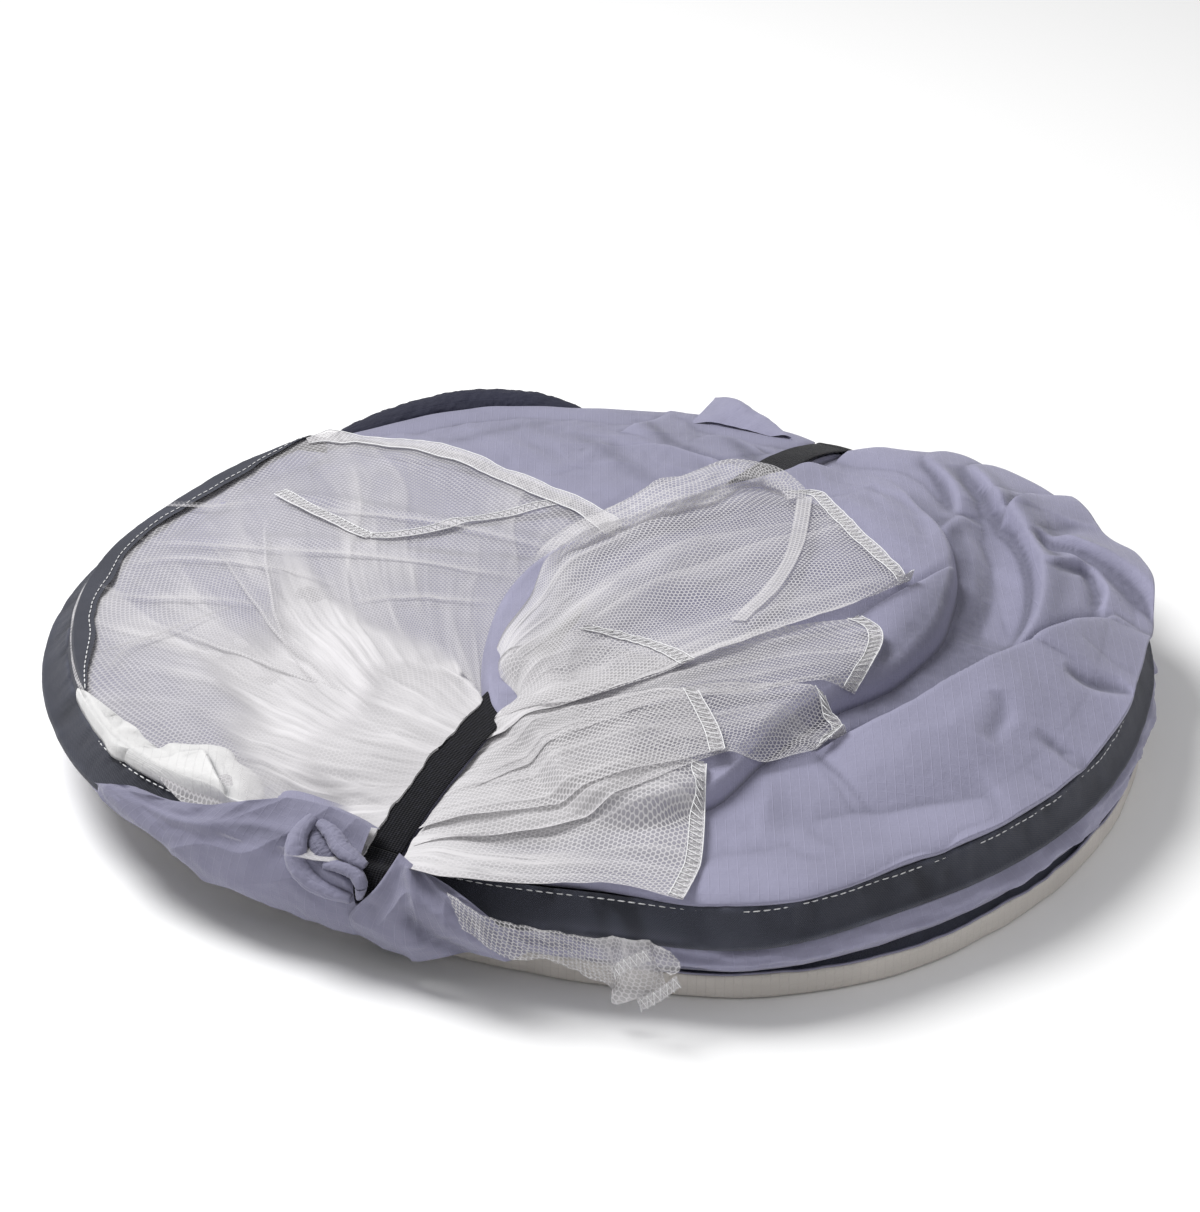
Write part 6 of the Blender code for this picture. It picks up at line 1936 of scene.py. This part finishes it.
CORNER_TOP = mm((-71, -259, 60), (-57, -269, 56), (-43, -273, 52), (-29, -273, 49), (-15, -275, 48),
                (-2, -277, 48), (10, -279, 49), (21, -281, 49), (31, -282, 44))
CORNER_LOW = mm((-64, -270, 48), (-53, -273, 40), (-41, -276, 34), (-27, -274, 33), (-13, -276, 29),
                (-2, -278, 25), (4, -279, 21), (11, -280, 14), (20, -281, 18), (29, -282, 27),
                (36, -283, 34))


class TENT_OT_net_corner(bpy.types.Operator):
    """Corner of the net that hangs out in front of the rim"""
    bl_idname = "tent.net_corner"
    bl_label = "Hanging net corner"

    def execute(self, context):
        top = even_curve(CORNER_TOP, 320)
        low = even_curve(CORNER_LOW, 320)
        u, v = unit_grid(320, 70)
        points = top[:, None, :] * (1 - v[..., None]) + low[:, None, :] * v[..., None]
        turn = FULL_TURN * (5.0 * u + 0.35 * noise(u * 6, v * 2, 311))
        loose = smooth(0.48, 0.72, u) * (0.25 + 0.75 * v)
        points[..., 0] += 0.0042 * loose * np.sin(turn)
        points[..., 1] -= 0.0032 * loose * (1 + np.cos(turn)) + 0.0012 * ripple(u * 16, v * 3, 313)
        points[..., 1] -= 0.001 * v
        points[..., 2] += 0.0025 * loose * np.sin(turn * 1.3 + 1) * v
        dense = 0.05 + 0.30 * smooth(0.55, 0.75, u) + 0.12 * ripple(u * 14, v * 4, 317)
        dense = dense + overlaps(u, v, 18, 319, 0.05, 0.35)
        dense = dense + 0.5 * np.exp(-v / 0.06) + 0.35 * np.exp(-(1 - v) / 0.05)
        net_sheet("net_corner_sheet", points, np.clip(dense, 0, 0.95), ["net_corner"], "hung",
                  "upper_sleeve_tape")
        for name, path in (
                ("corner_hem_one", mm((6, -288, 35), (12, -290, 41), (22, -291, 47))),
                ("corner_hem_two", mm((18, -290, 18), (27, -292, 25), (36, -292, 33)))):
            self.hem_bit(name, path)
        return {"FINISHED"}

    def hem_bit(self, name, path):
        line = even_curve(path, 60)
        tall = np.linspace(-0.0030, 0.0030, 6)
        strip = line[:, None, :] + tall[None, :, None] * np.array([0.35, -0.2, -0.9])
        piece = leaf_piece(f"{name}_band", strip, np.full(strip.shape[:2], 0.55))
        ride_as_sheet(piece, [], (0.012 + flat_size(strip)[0], 0.0105))
        zigzag(name, (strip[:, -1], strip[:, 0]), 13, np.array([0, -0.0008, 0]))


# Studio
CAMERA_PLACE = (0.0, -1.57885, 0.93)
CAMERA_PITCH = -28.585
CAMERA_LENS = 101.0


class TENT_OT_studio(bpy.types.Operator):
    """Pale floor, soft lights and the camera at the photograph's viewing angle"""
    bl_idname = "tent.studio"
    bl_label = "Studio"

    def execute(self, context):
        studio = context.scene.tent_studio
        self.floor(studio)
        self.sky(studio)
        self.lamp("key_light", (-0.95, 0.40, 1.85), studio.key, 1.1)
        self.lamp("side_light", (1.3, -0.9, 1.5), studio.side, 1.4)
        self.camera()
        context.scene.view_settings.view_transform = "Standard"
        return {"FINISHED"}

    def floor(self, studio):
        bpy.ops.object.select_all(action="DESELECT")
        bpy.ops.mesh.primitive_plane_add(size=14, location=(0, 0, -0.0002))
        floor = bpy.context.object
        floor.name = "floor"
        bpy.ops.object.transform_apply(location=True, rotation=True, scale=True)
        look = Finish("studio_floor", 0.9, Specular_IOR_Level=0.1)
        grain = look.noise(3.0, 2.0)
        look.colour(look.mix(grain, tint(studio.floor_colour, 0.995), tint(studio.floor_colour, 1.005)))
        floor.data.materials.append(look.material)

    def sky(self, studio):
        world = bpy.data.worlds.new("studio_sky")
        world.use_nodes = True
        back = world.node_tree.nodes["Background"]
        back.inputs["Color"].default_value = (1.0, 1.0, 1.0, 1.0)
        back.inputs["Strength"].default_value = studio.sky
        bpy.context.scene.world = world

    def lamp(self, name, place, power, size):
        light = bpy.data.lights.new(name, "AREA")
        light.shape = "DISK"
        light.size = size
        light.energy = power
        lamp = bpy.data.objects.new(name, light)
        lamp.location = place
        lamp.rotation_euler = (Vector((0, 0, 0.04)) - Vector(place)).to_track_quat("-Z", "Y").to_euler()
        bpy.context.scene.collection.objects.link(lamp)

    def camera(self):
        lens = bpy.data.cameras.new("photo_camera")
        lens.lens = CAMERA_LENS
        lens.sensor_fit = "VERTICAL"
        lens.sensor_height = 36.0
        lens.clip_start = 0.05
        camera = bpy.data.objects.new("photo_camera", lens)
        camera.location = CAMERA_PLACE
        camera.rotation_euler = (math.radians(90 + CAMERA_PITCH), 0, 0)
        bpy.context.scene.collection.objects.link(camera)
        bpy.context.scene.camera = camera


OPERATORS = (TENT_OT_studio, TENT_OT_wires, TENT_OT_tapes, TENT_OT_ground_sheet, TENT_OT_inner_layers,
             TENT_OT_lobes, TENT_OT_back_cloth, TENT_OT_front_flaps, TENT_OT_strap, TENT_OT_left_net,
             TENT_OT_right_net, TENT_OT_net_corner)
SETTINGS = {"tent_sizes": TentSizes, "tent_colours": TentColours, "tent_studio": StudioSettings}


class TENT_PT_panel(bpy.types.Panel):
    """Sizes, colours and pieces of the folded net tent"""
    bl_idname = "TENT_PT_panel"
    bl_label = "Net tent"
    bl_space_type = "VIEW_3D"
    bl_region_type = "UI"
    bl_category = "Net tent"

    def draw(self, context):
        for pointer, group in SETTINGS.items():
            box = self.layout.box()
            box.label(text=group.__doc__)
            for label in group.__annotations__:
                box.prop(getattr(context.scene, pointer), label)
        for operator in OPERATORS:
            self.layout.operator(operator.bl_idname)


CLASSES = (*SETTINGS.values(), *OPERATORS, TENT_PT_panel)


def register():
    for kind in CLASSES:
        bpy.utils.register_class(kind)
    for pointer, group in SETTINGS.items():
        setattr(bpy.types.Scene, pointer, bpy.props.PointerProperty(type=group))


def unregister():
    for pointer in SETTINGS:
        delattr(bpy.types.Scene, pointer)
    for kind in reversed(CLASSES):
        bpy.utils.unregister_class(kind)


def main():
    register()
    for operator in OPERATORS:
        family, action = operator.bl_idname.split(".")
        getattr(getattr(bpy.ops, family), action)()
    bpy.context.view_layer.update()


if __name__ == "__main__":
    main()
